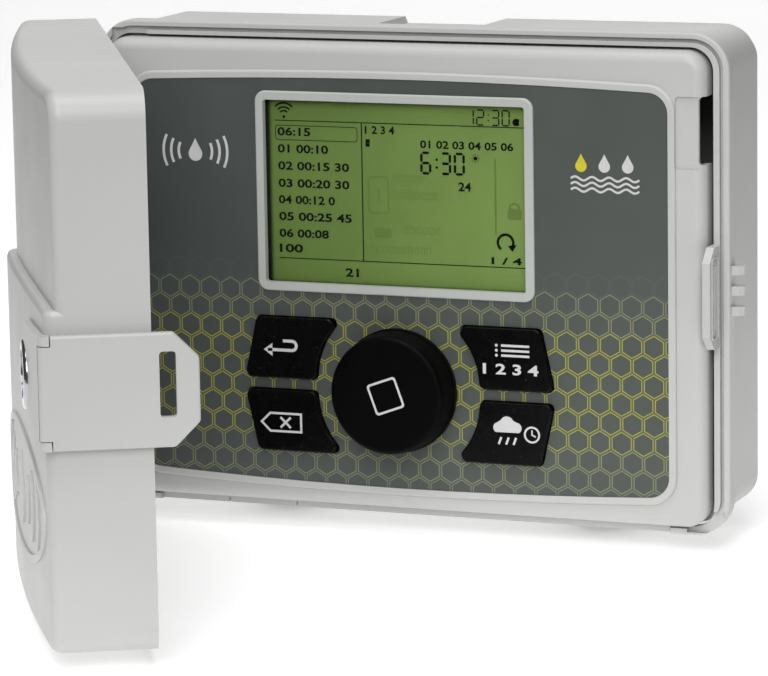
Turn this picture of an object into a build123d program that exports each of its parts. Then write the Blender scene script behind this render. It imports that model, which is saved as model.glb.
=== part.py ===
from build123d import *
import math
import os

os.makedirs("parts", exist_ok=True)

# An outdoor irrigation controller for a wall: a tray-shaped case, a swing panel with the
# display, dial and keys, and a hinged, lockable door.
# Millimetres. X is to the right, Z is up, the wall is the plane Y = 0 and the front is -Y.
# A "depth" counts forward from the wall, so front_plane(depth) lies at Y = -depth.
# The door's pieces are drawn closed, then turned open about the hinge when they are written.

# Case
case_width = 240.0
case_height = 178.0
case_depth = 54.0
case_radius = 13.5
wall = 3.0
side_inset = 3.8
rim_depth = 6.0
back_rounding = 9.0
pad_rise = 2.5
pocket_left, pocket_right = -116.6, 114.2
pocket_bottom, pocket_top = -86.2, 83.9
pocket_radius = 8.5
groove_outer, groove_inner, groove_depth = 2.2, 3.6, 2.0
body_width = case_width - 2 * side_inset
body_height = case_height - 2 * side_inset
rim_back = case_depth - rim_depth

# Strike tab and catch ribs on the right of the case
tab_left, tab_right = 113.4, 116.2
tab_bottom, tab_top = -21.0, 15.0
tab_reach = 11.0
rib_count, rib_pitch, rib_height = 3, 7.2, 3.2
rib_middle = -1.3
rib_back, rib_front, rib_tip = 47.4, 51.9, 124.2

# Door
door_left, door_right = -121.0, 120.0
door_height = 180.0
door_radius = 9.0
door_edge_radius = 4.0
door_back = case_depth + 0.3
door_wall = 3.0
hinge_side_depth, middle_depth, free_side_depth = 27.0, 35.5, 30.0
lower_raise, arch_rounding = 3.5, 2.0
arch_hinge_side, arch_free_side = 3.0, 21.0
arch_top_x, arch_top = 45.0, 22.8
door_rest_angle = 60.8
hinge_x, hinge_depth = -121.5, 54.0
knuckle_radius, knuckle_gap, knuckle_length = 3.0, 0.4, 10.0
knuckle_middle = 57.0
pin_radius, running_gap = 1.3, 0.06

# Swing panel
panel_left, panel_right = -116.0, 112.6
panel_bottom, panel_top = -85.6, 82.9
panel_radius = 8.0
panel_back, panel_face, panel_border = 50.0, 59.4, 60.6
panel_wall = 2.6
panel_skin = 57.0
panel_axis_x, panel_axis_depth = -113.0, 56.5
ear_middle, ear_height, ear_radius = 50.0, 8.0, 2.8
label_left, label_right = -103.5, 99.5
label_top, label_bottom = 68.0, -74.5
label_top_bow, label_bottom_bow = 2.4, 2.9
label_radius = 7.5
border_width = 2.8
notch_z, notch_height = 55.2, 24.0
scoop_left, scoop_z, scoop_height, scoop_depth = 102.0, 54.4, 25.6, 0.8
label_back, label_front = 60.0, 60.3

# Display
glass_left, glass_right = -52.6, 47.1
glass_bottom, glass_top = -4.1, 62.1
glass_x = (glass_left + glass_right) / 2
glass_z = (glass_bottom + glass_top) / 2
glass_width = glass_right - glass_left
glass_height = glass_top - glass_bottom
frame_margin, frame_neck, frame_radius = 3.2, 1.4, 4.0
frame_front, window_front, window_back = 61.3, 58.8, 57.6
module_back, light_back = 53.6, 51.6
board_back, board_front = 49.5, 51.1

# Dial and keys, around one centre
dial_x, dial_z = -2.0, -41.4
dial_base_radius, dial_foot_height, dial_taper = 22.5, 2.2, 5
dial_shell, dial_hub_radius = 3.0, 5.2
mark_size, mark_line, mark_turn, mark_depth = 11.6, 0.8, 20, 0.5
dial_back, dial_front = 60.9, 73.4
shaft_radius = 3.0
key_tip_x, key_corner_x, key_outer_x, key_inner_x = 20.6, 54.4, 59.4, 31.4
key_near_z, key_far_z = 2.2, 24.6
key_hollow_x, key_hollow_z = 29.3, 13.3
key_front, key_gap = 62.3, 0.35
key_centre_x, key_centre_z = 43.0, 13.4
key_rounding, opening_rounding = 2.5, 2.2

# Latch arm and lock on the free side of the door
arm_inner, arm_thickness = 120.4, 3.0
arm_bottom, arm_top = -22.5, 14.0
arm_end_depth, arm_chamfer = 39.6, 8.0
slot_back, slot_front = 47.0, 52.3
slot_bottom, slot_top = -12.9, 8.1
latch_pin_depth, latch_pin_radius, latch_knuckle_radius = 88.2, 0.8, 1.9
eye_gap, eye_thickness = 0.3, 3.0
bracket_left, bracket_back, bracket_cut = 88.0, 86.5, 9.0
lock_x, lock_z = 86.0, -4.0
lock_seat, lock_barrel_radius, lock_plug_radius = 89.0, 9.5, 6.0
lock_ring_radius, lock_ring_bore, lock_ring_height = 11.5, 8.0, 4.6
lock_face_step, lock_plug_step = 1.4, 0.6
cam_back, cam_thickness, cam_length, cam_half_width = 62.2, 1.4, 28.6, 4.6

# Inside the case
hub_depth, hub_bore, hub_throat, hub_neck, hub_flange = 19.5, 8.0, 8.8, 11.0, 14.0
hub_flange_thickness, hub_collar = 2.4, 6.0
hub_places = (-62.0, 62.0)
screw_spacing, screw_z, screw_hole = 180.0, -60.0, 2.4
terminal_board_x, terminal_board_z = -22.0, -30.0
terminal_board_width, terminal_board_height, board_thickness = 106.0, 44.0, 1.6
post_pitch_x, post_pitch_z, post_height, post_radius = 96.0, 34.0, 6.0, 3.5
block_places = (-22.0, 25.0)
block_width, block_height, block_depth = 40.0, 11.0, 12.0
clamp_pitch, clamp_count = 5.0, 8
transformer_x, transformer_z = 78.0, -30.0
keyhole_z, keyhole_radius, keyhole_slot_z, keyhole_slot_width = 58.0, 5.0, 64.0, 4.8
pillar_pitch_x, pillar_pitch_z = 190.0, 150.0
cover_depth = 36.0
cell_x, cell_z, cell_radius = 70.0, 40.0, 10.0

# The length of a cut that goes all the way through a piece
through = 40.0


def front_plane(depth):
    """The plane parallel to the wall at this depth, with its normal toward the front."""
    return Plane.XZ.offset(depth)


def span(low, high):
    """The middle and the size of a stretch."""
    return (low + high) / 2, high - low


def key_signs():
    """The four keys around the dial: name, side in X and side in Z."""
    return (
        ("back_key", -1, 1),
        ("clear_key", -1, -1),
        ("program_key", 1, 1),
        ("rain_key", 1, -1),
    )


def key_outline(side_x, side_z, grow):
    """The outline of one key, hollowed toward the dial, in the current sketch."""

    def at(x, z):
        return (dial_x + side_x * x, dial_z + side_z * z)

    with BuildLine() as line:
        Polyline(
            at(key_inner_x - grow, key_near_z - grow),
            at(key_outer_x + grow, key_near_z - grow),
            at(key_corner_x + grow, key_far_z + grow),
            at(key_tip_x - grow, key_far_z + grow),
        )
        ThreePointArc(
            at(key_tip_x - grow, key_far_z + grow),
            at(key_hollow_x - grow, key_hollow_z),
            at(key_inner_x - grow, key_near_z - grow),
        )
    make_face(line.edges())


def label_outline(grow):
    """The label's outline, bowed at the top and the bottom, in the current sketch."""
    left, right = label_left - grow, label_right + grow
    top, bottom = label_top + grow, label_bottom - grow
    middle = (left + right) / 2
    with BuildLine() as line:
        Line((left, top), (left, bottom))
        ThreePointArc((left, bottom), (middle, bottom - label_bottom_bow), (right, bottom))
        Line((right, bottom), (right, top))
        ThreePointArc((right, top), (middle, top + label_top_bow), (left, top))
    make_face(line.edges())


def front_circle():
    """Centre and radius, seen from above, of the arc that the door's front follows."""
    x1, y1 = door_left, -(door_back + hinge_side_depth)
    x2, y2 = 0.0, -(door_back + middle_depth)
    x3, y3 = door_right, -(door_back + free_side_depth)
    turn = 2 * (x1 * (y2 - y3) + x2 * (y3 - y1) + x3 * (y1 - y2))
    s1, s2, s3 = x1**2 + y1**2, x2**2 + y2**2, x3**2 + y3**2
    centre_x = (s1 * (y2 - y3) + s2 * (y3 - y1) + s3 * (y1 - y2)) / turn
    centre_y = (s1 * (x3 - x2) + s2 * (x1 - x3) + s3 * (x2 - x1)) / turn
    return (centre_x, centre_y), math.hypot(x1 - centre_x, y1 - centre_y)


def door_block(side_grow, front_grow, back, edge_radius):
    """The door's bowed block, grown by these amounts at its sides and its front."""
    middle, width = span(door_left - side_grow, door_right + side_grow)
    height = door_height + 2 * side_grow
    centre, radius = front_circle()
    with BuildPart() as block:
        with BuildSketch(front_plane(back)):
            with Locations((middle, 0)):
                RectangleRounded(width, height, door_radius + side_grow)
        extrude(amount=60)
        with BuildSketch(Plane.XY.offset(-door_height)):
            with Locations(centre):
                Circle(radius + front_grow)
        extrude(amount=2 * door_height, mode=Mode.INTERSECT)
        if edge_radius:
            front = block.faces().sort_by(Axis.Y)[0]
            fillet(front.edges(), edge_radius)
    return block.part


pocket_x, pocket_width = span(pocket_left, pocket_right)
pocket_z, pocket_height = span(pocket_bottom, pocket_top)
panel_x, panel_width = span(panel_left, panel_right)
panel_z, panel_height = span(panel_bottom, panel_top)
tab_z, tab_height = span(tab_bottom, tab_top)
hinge_axis = Axis((hinge_x, -hinge_depth, 0), (0, 0, 1))

# ---------------------------------------------------------------- case
with BuildPart() as case_shell:
    with BuildSketch(front_plane(0)):
        RectangleRounded(body_width, body_height, case_radius - side_inset)
    extrude(amount=rim_back)
    fillet(case_shell.faces().sort_by(Axis.Y)[-1].edges(), back_rounding)
    # Two raised pads along the top, with sloped ends and a gap between them.
    with BuildSketch(front_plane(back_rounding)):
        pad_base = body_height / 2 - 1
        pad_top = body_height / 2 + pad_rise
        with BuildLine():
            Polyline(
                (-114, pad_base), (-105, pad_top), (-17.4, pad_top), (-16, pad_base), close=True
            )
        make_face()
    extrude(amount=rim_back - back_rounding)
    with BuildSketch(front_plane(back_rounding)) as corner_pad:
        with BuildLine():
            Polyline(
                (17, pad_base),
                (22, pad_top),
                (body_width / 2, pad_top),
                (body_width / 2, 70),
                (100, 70),
                (100, pad_base),
                close=True,
            )
        make_face()
        turn = corner_pad.vertices().group_by(Axis.Y)[-1].sort_by(Axis.X)[-1]
        fillet(turn, 12)
    extrude(amount=rim_back - back_rounding)
    with BuildSketch(front_plane(rim_back)):
        RectangleRounded(case_width, case_height, case_radius)
    extrude(amount=rim_depth)
    fillet(case_shell.faces().sort_by(Axis.Y)[0].edges(), 1.0)
    # The hollow, and the wider pocket at its mouth that takes the panel.
    with BuildSketch(front_plane(wall)):
        RectangleRounded(body_width - 2 * wall, body_height - 2 * wall, 8)
    extrude(amount=case_depth, mode=Mode.SUBTRACT)
    with BuildSketch(front_plane(rim_back)):
        with Locations((pocket_x, pocket_z)):
            RectangleRounded(pocket_width, pocket_height, pocket_radius)
    extrude(amount=case_depth, mode=Mode.SUBTRACT)
    # The groove that leaves an outer ridge and an inner lip round the rim.
    with BuildSketch(front_plane(case_depth - groove_depth)):
        RectangleRounded(
            case_width - 2 * groove_outer, case_height - 2 * groove_outer, case_radius - groove_outer
        )
        RectangleRounded(
            case_width - 2 * groove_inner,
            case_height - 2 * groove_inner,
            case_radius - groove_inner,
            mode=Mode.SUBTRACT,
        )
        with Locations((-108, 82), (111, -84)):
            Rectangle(14, 8)
    extrude(amount=case_depth, mode=Mode.SUBTRACT)
    # The bottom of the rim is open where the drip rail closes it.
    with BuildSketch(front_plane(rim_back)):
        with Locations((-1, -case_height / 2)):
            Rectangle(198, 2 * (case_height / 2 + pocket_bottom))
    extrude(amount=rim_depth + 1, mode=Mode.SUBTRACT)
    # Strike tab: a plate that stands forward of the rim, with cut corners.
    with BuildSketch(Plane.YZ.offset(tab_left)):
        with Locations((-(case_depth + tab_reach / 2 - 1.5), tab_z)):
            Rectangle(tab_reach + 3, tab_height)
    extrude(amount=tab_right - tab_left)
    tab_front = -(case_depth + tab_reach)
    tab_edges = case_shell.edges().filter_by(Axis.X).filter_by_position(
        Axis.Y, tab_front - 0.1, tab_front + 0.1
    )
    chamfer(tab_edges, 5)
    with BuildSketch(Plane.YZ.offset(tab_right)):
        with Locations((-(case_depth + 5.2), tab_z)):
            RectangleRounded(6.4, tab_height - 8, 0.8)
    extrude(amount=-0.5, mode=Mode.SUBTRACT)
    with BuildSketch(Plane.YZ.offset(tab_left)):
        with Locations((-(cam_back + cam_thickness / 2), lock_z)):
            Rectangle(2.6, 15)
    extrude(amount=1.5, mode=Mode.SUBTRACT)
    # Catch ribs that the latch arm's slot drops over.
    for index in range(rib_count):
        rib_z = rib_middle + (index - (rib_count - 1) / 2) * rib_pitch
        with BuildSketch(Plane.XY.offset(rib_z - rib_height / 2)):
            with BuildLine():
                Polyline(
                    (case_width / 2 - 5, -rib_back),
                    (rib_tip, -rib_back),
                    (rib_tip, -rib_front + 1.6),
                    (rib_tip - 1.6, -rib_front),
                    (case_width / 2 - 5, -rib_front),
                    close=True,
                )
            make_face()
        extrude(amount=rib_height)
    # Door hinge knuckles, panel hinge ears and their holes.
    for side in (-1, 1):
        knuckle_z = side * knuckle_middle
        with BuildSketch(Plane.XY.offset(knuckle_z - knuckle_length / 2)):
            with Locations((hinge_x, -hinge_depth)):
                Circle(knuckle_radius)
            with Locations((hinge_x + 0.4, -hinge_depth + 3)):
                Rectangle(4.4, 6)
        extrude(amount=knuckle_length)
        for step in (-1, 1):
            clear_z = knuckle_z + step * (knuckle_length + knuckle_gap)
            with BuildSketch(Plane.XY.offset(clear_z - knuckle_length / 2 - knuckle_gap)):
                with Locations((hinge_x, -hinge_depth)):
                    Circle(knuckle_radius + knuckle_gap)
            extrude(amount=knuckle_length + knuckle_gap * 1.5, mode=Mode.SUBTRACT)
        with BuildSketch(Plane.XY.offset(knuckle_z - 2 * knuckle_length)):
            with Locations((hinge_x, -hinge_depth)):
                Circle(pin_radius)
        extrude(amount=4 * knuckle_length, mode=Mode.SUBTRACT)
        ear_z = side * ear_middle
        with BuildSketch(Plane.XY.offset(ear_z - ear_height / 2)):
            with Locations((panel_axis_x, -panel_axis_depth)):
                Circle(ear_radius)
            with Locations((panel_axis_x - 2.1, -panel_axis_depth + 2.5)):
                Rectangle(4.2, 8)
        extrude(amount=ear_height)
        with BuildSketch(Plane.XY.offset(ear_z - ear_height)):
            with Locations((panel_axis_x, -panel_axis_depth)):
                Circle(pin_radius)
        extrude(amount=2 * ear_height, mode=Mode.SUBTRACT)
    # Wall screw bosses and the hanging keyhole.
    with BuildSketch(front_plane(wall)):
        with Locations((-screw_spacing / 2, screw_z), (screw_spacing / 2, screw_z)):
            Circle(7)
    extrude(amount=3)
    with BuildSketch(front_plane(-1)):
        with Locations((-screw_spacing / 2, screw_z), (screw_spacing / 2, screw_z)):
            Circle(screw_hole)
        with Locations((0, keyhole_z)):
            Circle(keyhole_radius)
        with Locations((0, keyhole_slot_z)):
            SlotCenterToCenter(9, keyhole_slot_width, rotation=90)
    extrude(amount=wall + 8, mode=Mode.SUBTRACT)
    # Posts for the terminal board and the transformer.
    with BuildSketch(front_plane(wall)):
        with GridLocations(post_pitch_x, post_pitch_z, 2, 2):
            Circle(post_radius)
    posts = extrude(amount=post_height, mode=Mode.PRIVATE)
    add(posts.moved(Location((terminal_board_x, 0, terminal_board_z))))
    # Holes in the bottom wall for the conduit hubs.
    with BuildSketch(Plane.XY.offset(-body_height / 2 - 1)):
        with Locations(*[(x, -hub_depth) for x in hub_places]):
            Circle(hub_neck + 0.1)
    extrude(amount=wall + 2, mode=Mode.SUBTRACT)
case_shell.part.label = "case_shell"

with BuildPart() as drip_rail:
    rail_top = pocket_bottom - 0.2
    with BuildSketch(Plane.YZ.offset(-99.4)):
        with BuildLine():
            Polyline(
                (-case_depth + 1.6, rail_top),
                (-rim_back + 5, rail_top),
                (-rim_back + 5, rail_top - 1.4),
                (-case_depth + 3.4, rail_top - 1.4),
                (-case_depth + 3.4, rail_top - 2.2),
                (-case_depth + 1.6, rail_top - 2.2),
                close=True,
            )
        make_face()
    extrude(amount=196.8)
    with BuildSketch(front_plane(case_depth - 3.4)):
        with Locations((-72.7, rail_top - 1.5), (-45.9, rail_top - 1.5)):
            Rectangle(0.7, 2)
    extrude(amount=4, mode=Mode.SUBTRACT)
drip_rail.part.label = "drip_rail"

with BuildPart() as conduit_hub:
    hub_bottom = -body_height / 2 - hub_flange_thickness - hub_collar
    with BuildSketch(Plane.XY.offset(-body_height / 2 - hub_flange_thickness)):
        with Locations((hub_places[0], -hub_depth)):
            Circle(hub_flange)
    extrude(amount=hub_flange_thickness)
    with BuildSketch(Plane.XY.offset(hub_bottom)):
        with Locations((hub_places[0], -hub_depth)):
            Circle(hub_neck)
    extrude(amount=hub_collar + hub_flange_thickness + 12)
    with BuildSketch(Plane.XY.offset(hub_bottom - 1)):
        with Locations((hub_places[0], -hub_depth)):
            Circle(hub_bore)
    extrude(amount=hub_collar + hub_flange_thickness + 14, mode=Mode.SUBTRACT)
    # The throat above the collar is a little wider than the collar's bore.
    with BuildSketch(Plane.XY.offset(hub_bottom + 8)):
        with Locations((hub_places[0], -hub_depth)):
            Circle(hub_throat)
    extrude(amount=14, mode=Mode.SUBTRACT)
conduit_hub.part.label = "valve_wire_hub"

with BuildPart() as power_hub:
    add(conduit_hub.part.moved(Location((hub_places[1] - hub_places[0], 0, 0))))
power_hub.part.label = "power_hub"

with BuildPart() as hub_nuts:
    with BuildSketch(Plane.XY.offset(-body_height / 2 + wall + 0.1)):
        with Locations(*[(x, -hub_depth) for x in hub_places]):
            RegularPolygon(15.5, 6)
            Circle(hub_neck + 0.15, mode=Mode.SUBTRACT)
    extrude(amount=4)
hub_nuts.part.label = "hub_nuts"

with BuildPart() as terminal_board:
    with BuildSketch(front_plane(wall + post_height)):
        with Locations((terminal_board_x, terminal_board_z)):
            RectangleRounded(terminal_board_width, terminal_board_height, 2)
            with GridLocations(post_pitch_x, post_pitch_z, 2, 2):
                Circle(1.6, mode=Mode.SUBTRACT)
    extrude(amount=board_thickness)
terminal_board.part.label = "terminal_board"

board_top = wall + post_height + board_thickness
with BuildPart() as board_screws:
    with BuildSketch(front_plane(board_top)):
        with Locations((terminal_board_x, terminal_board_z)):
            with GridLocations(post_pitch_x, post_pitch_z, 2, 2):
                Circle(2.8)
    extrude(amount=1.8)
    with BuildSketch(front_plane(wall + post_height)):
        with Locations((terminal_board_x, terminal_board_z)):
            with GridLocations(post_pitch_x, post_pitch_z, 2, 2):
                Circle(1.5)
    extrude(amount=2)
board_screws.part.label = "board_screws"

with BuildPart() as terminal_blocks:
    with BuildSketch(front_plane(board_top)):
        with Locations(*[(terminal_board_x + x, terminal_board_z - 9) for x in block_places]):
            Rectangle(block_width, block_height)
    extrude(amount=block_depth)
    chamfer(terminal_blocks.faces().group_by(Axis.Y)[0].edges().group_by(Axis.Z)[0], 3)
    with BuildSketch(front_plane(board_top + block_depth)):
        for block_x in block_places:
            with Locations((terminal_board_x + block_x, terminal_board_z - 7)):
                with GridLocations(clamp_pitch, 1, clamp_count, 1):
                    Circle(1.9)
    extrude(amount=-3, mode=Mode.SUBTRACT)
terminal_blocks.part.label = "terminal_blocks"

with BuildPart() as terminal_screws:
    with BuildSketch(front_plane(board_top + block_depth - 3)):
        for block_x in block_places:
            with Locations((terminal_board_x + block_x, terminal_board_z - 7)):
                with GridLocations(clamp_pitch, 1, clamp_count, 1):
                    Circle(1.7)
    extrude(amount=2)
terminal_screws.part.label = "terminal_screws"

with BuildPart() as transformer_core:
    with BuildSketch(front_plane(wall + 3)):
        with Locations((transformer_x, transformer_z)):
            Rectangle(42, 36)
            with Locations((-9.5, 0), (9.5, 0)):
                Rectangle(9, 22, mode=Mode.SUBTRACT)
    extrude(amount=18)
transformer_core.part.label = "transformer_core"

with BuildPart() as transformer_coil:
    with BuildSketch(Plane.XY.offset(transformer_z - 10.5)):
        with Locations((transformer_x, -wall - 12)):
            RectangleRounded(27, 24, 3)
            Rectangle(10.2, 18.2, mode=Mode.SUBTRACT)
    extrude(amount=21)
transformer_coil.part.label = "transformer_coil"

with BuildPart() as transformer_strap:
    with BuildSketch(Plane.XZ.offset(wall)):
        with Locations((transformer_x - 27, transformer_z), (transformer_x + 27, transformer_z)):
            RectangleRounded(11, 14, 1)
    extrude(amount=1.4)
    with BuildSketch(Plane.XZ.offset(wall)):
        with Locations((transformer_x - 22, transformer_z), (transformer_x + 22, transformer_z)):
            Rectangle(1.4, 14)
    extrude(amount=18.1)
    with BuildSketch(Plane.XZ.offset(wall + 18.1 + 3)):
        with Locations((transformer_x, transformer_z + 14.4), (transformer_x, transformer_z - 14.4)):
            Rectangle(45.4, 6)
    extrude(amount=1.4)
    with BuildSketch(Plane.XZ.offset(wall + 18.1 - 6)):
        with Locations((transformer_x - 22, transformer_z), (transformer_x + 22, transformer_z)):
            Rectangle(1.4, 34.8)
    extrude(amount=10.4)
transformer_strap.part.label = "transformer_strap"

with BuildPart() as transformer_screws:
    with BuildSketch(front_plane(wall + 1.4)):
        with Locations((transformer_x - 29, transformer_z), (transformer_x + 29, transformer_z)):
            Circle(2.6)
    extrude(amount=2)
transformer_screws.part.label = "transformer_screws"

with BuildPart() as door_hinge_pins:
    for side in (-1, 1):
        pin_length = 3 * knuckle_length + 2 * knuckle_gap
        with BuildSketch(Plane.XY.offset(side * knuckle_middle - pin_length / 2)):
            with Locations((hinge_x, -hinge_depth)):
                Circle(pin_radius)
        extrude(amount=pin_length)
door_hinge_pins.part.label = "door_hinge_pins"

with BuildPart() as panel_hinge_pins:
    for side in (-1, 1):
        with BuildSketch(Plane.XY.offset(side * ear_middle - 11)):
            with Locations((panel_axis_x, -panel_axis_depth)):
                Circle(pin_radius)
        extrude(amount=22)
panel_hinge_pins.part.label = "panel_hinge_pins"

# ---------------------------------------------------------------- swing panel
with BuildPart() as panel_bezel:
    with BuildSketch(front_plane(panel_back)):
        with Locations((panel_x, panel_z)):
            RectangleRounded(panel_width, panel_height, panel_radius)
    extrude(amount=panel_face - panel_back)
    fillet(panel_bezel.faces().sort_by(Axis.Y)[0].edges(), 4)
    with BuildSketch(front_plane(panel_face - 1)) as border:
        label_outline(border_width)
        fillet(border.vertices(), label_radius + border_width)
    extrude(amount=panel_border - panel_face + 1)
    fillet(panel_bezel.faces().sort_by(Axis.Y)[0].edges(), 0.9)
    with BuildSketch(front_plane(label_back)) as recess:
        label_outline(0.15)
        fillet(recess.vertices(), label_radius)
    extrude(amount=2, mode=Mode.SUBTRACT)
    with BuildSketch(front_plane(panel_back - 1)):
        with Locations((panel_x, panel_z)):
            RectangleRounded(panel_width - 2 * panel_wall, panel_height - 2 * panel_wall, 5.4)
    extrude(amount=panel_skin - panel_back + 1, mode=Mode.SUBTRACT)
    # Hinge blocks inside the left wall.
    for side in (-1, 1):
        with BuildSketch(Plane.XY.offset(side * ear_middle - 14)):
            with Locations((panel_left + 3.6, -(panel_back + panel_skin + 0.5) / 2)):
                Rectangle(6.4, panel_skin - panel_back + 0.5)
        extrude(amount=28)
        with BuildSketch(front_plane(panel_back - 2)):
            with Locations((panel_axis_x - 1.2, side * ear_middle)):
                Rectangle(9.4, ear_height + 1)
        extrude(amount=through, mode=Mode.SUBTRACT)
        with BuildSketch(Plane.XY.offset(side * ear_middle - 11.3)):
            with Locations((panel_axis_x, -panel_axis_depth)):
                Circle(pin_radius + running_gap)
        extrude(amount=22.6, mode=Mode.SUBTRACT)
    # Openings for the display, the keys and the dial's shaft.
    with BuildSketch(front_plane(panel_back)):
        with Locations((glass_x, glass_z)):
            RectangleRounded(glass_width + 2 * frame_neck + 0.8, glass_height + 2 * frame_neck + 0.8, 2.5)
        with Locations((dial_x, dial_z)):
            Circle(5)
    extrude(amount=through, mode=Mode.SUBTRACT)
    for name, side_x, side_z in key_signs():
        with BuildSketch(front_plane(panel_skin - 2)) as key_opening:
            key_outline(side_x, side_z, key_gap)
            fillet(key_opening.vertices(), opening_rounding)
        extrude(amount=10, mode=Mode.SUBTRACT)
    # Finger notch in the right edge, in a shallow scoop that runs in from the edge.
    with BuildSketch(front_plane(panel_back - 1)):
        with Locations((panel_right + 1, notch_z)):
            RectangleRounded(6.6, notch_height, 1.5)
    extrude(amount=through, mode=Mode.SUBTRACT)
    with BuildSketch(front_plane(panel_back - 1)):
        with Locations((panel_right, notch_z)):
            Rectangle(7, notch_height)
    extrude(amount=panel_skin - panel_back + 1, mode=Mode.SUBTRACT)
    with BuildSketch(front_plane(panel_face - scoop_depth)):
        with Locations(((scoop_left + panel_right + 6) / 2, scoop_z)):
            RectangleRounded(panel_right + 6 - scoop_left, scoop_height, 1.2)
    extrude(amount=5, mode=Mode.SUBTRACT)
    # Pillars that take the rear cover's screws.
    with BuildSketch(front_plane(panel_back)):
        with Locations((panel_x, panel_z)):
            with GridLocations(pillar_pitch_x, pillar_pitch_z, 2, 2):
                Circle(4)
                Circle(1.4, mode=Mode.SUBTRACT)
    extrude(amount=panel_skin - panel_back + 0.2)
panel_bezel.part.label = "panel_bezel"

with BuildPart() as label_overlay:
    with BuildSketch(front_plane(label_back)) as outline:
        label_outline(0)
        fillet(outline.vertices(), label_radius)
        with Locations((glass_x, glass_z)):
            RectangleRounded(
                glass_width + 2 * frame_neck + 0.8,
                glass_height + 2 * frame_neck + 0.8,
                2.5,
                mode=Mode.SUBTRACT,
            )
        with Locations((dial_x, dial_z)):
            Circle(5, mode=Mode.SUBTRACT)
    extrude(amount=label_front - label_back)
    for name, side_x, side_z in key_signs():
        with BuildSketch(front_plane(label_back - 1)) as key_opening:
            key_outline(side_x, side_z, key_gap)
            fillet(key_opening.vertices(), opening_rounding)
        extrude(amount=3, mode=Mode.SUBTRACT)
label_overlay.part.label = "label_overlay"

with BuildPart() as display_frame:
    with BuildSketch(front_plane(label_front)):
        with Locations((glass_x, glass_z)):
            RectangleRounded(
                glass_width + 2 * frame_margin, glass_height + 2 * frame_margin, frame_radius
            )
    extrude(amount=frame_front - label_front)
    fillet(display_frame.faces().sort_by(Axis.Y)[0].edges(), 0.7)
    with BuildSketch(front_plane(window_front)):
        with Locations((glass_x, glass_z)):
            RectangleRounded(glass_width + 2 * frame_neck, glass_height + 2 * frame_neck, 2.2)
    extrude(amount=label_front - window_front)
    with BuildSketch(front_plane(window_front)):
        with Locations((glass_x, glass_z)):
            RectangleRounded(glass_width, glass_height, 1)
    extrude(amount=5, mode=Mode.SUBTRACT)
display_frame.part.label = "display_frame"

window_size = (glass_width + 2 * frame_neck, glass_height + 2 * frame_neck)
with BuildPart() as display_window:
    with BuildSketch(front_plane(window_back)):
        with Locations((glass_x, glass_z)):
            RectangleRounded(window_size[0], window_size[1], 2)
    extrude(amount=window_front - window_back)
display_window.part.label = "display_window"

with BuildPart() as display_module:
    with BuildSketch(front_plane(module_back)):
        with Locations((glass_x, glass_z)):
            RectangleRounded(window_size[0], window_size[1], 2)
    extrude(amount=window_back - 0.1 - module_back)
display_module.part.label = "display_module"

with BuildPart() as display_backlight:
    with BuildSketch(front_plane(light_back)):
        with Locations((glass_x, glass_z)):
            RectangleRounded(window_size[0], window_size[1], 2)
    extrude(amount=module_back - light_back)
display_backlight.part.label = "display_backlight"

with BuildPart() as main_board:
    with BuildSketch(front_plane(board_back)):
        with Locations((panel_x, panel_z)):
            RectangleRounded(198, 142, 3)
            with GridLocations(pillar_pitch_x, pillar_pitch_z, 2, 2):
                Circle(5, mode=Mode.SUBTRACT)
    extrude(amount=board_front - board_back)
main_board.part.label = "main_board"

with BuildPart() as keypad_mat:
    for name, side_x, side_z in key_signs():
        with BuildSketch(front_plane(board_front)):
            with Locations((dial_x + side_x * key_centre_x, dial_z + side_z * key_centre_z)):
                RectangleRounded(30, 20, 3)
        extrude(amount=1)
        with BuildSketch(front_plane(board_front + 1)):
            with Locations((dial_x + side_x * key_centre_x, dial_z + side_z * key_centre_z)):
                Circle(5)
        extrude(amount=1.3, taper=20)
    with BuildSketch(front_plane(board_front)):
        with Locations((dial_x - key_centre_x, dial_z), (dial_x + key_centre_x, dial_z)):
            Rectangle(12, 12)
        with Locations((dial_x, dial_z + 20.5)):
            Rectangle(66, 4)
    extrude(amount=1)
keypad_mat.part.label = "keypad_mat"

with BuildPart() as encoder_body:
    with BuildSketch(front_plane(board_front)):
        with Locations((dial_x, dial_z)):
            RectangleRounded(14, 13, 1)
    extrude(amount=4.4)
    with BuildSketch(front_plane(board_front)):
        with Locations((dial_x, dial_z)):
            Circle(4.6)
    extrude(amount=8.6)
    with BuildSketch(front_plane(board_front)):
        with Locations((dial_x, dial_z)):
            Circle(shaft_radius + running_gap)
    extrude(amount=through, mode=Mode.SUBTRACT)
encoder_body.part.label = "encoder_body"

with BuildPart() as encoder_shaft:
    with BuildSketch(front_plane(board_front + 0.9)):
        with Locations((dial_x, dial_z)):
            Circle(shaft_radius)
    extrude(amount=18)
encoder_shaft.part.label = "encoder_shaft"

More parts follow.
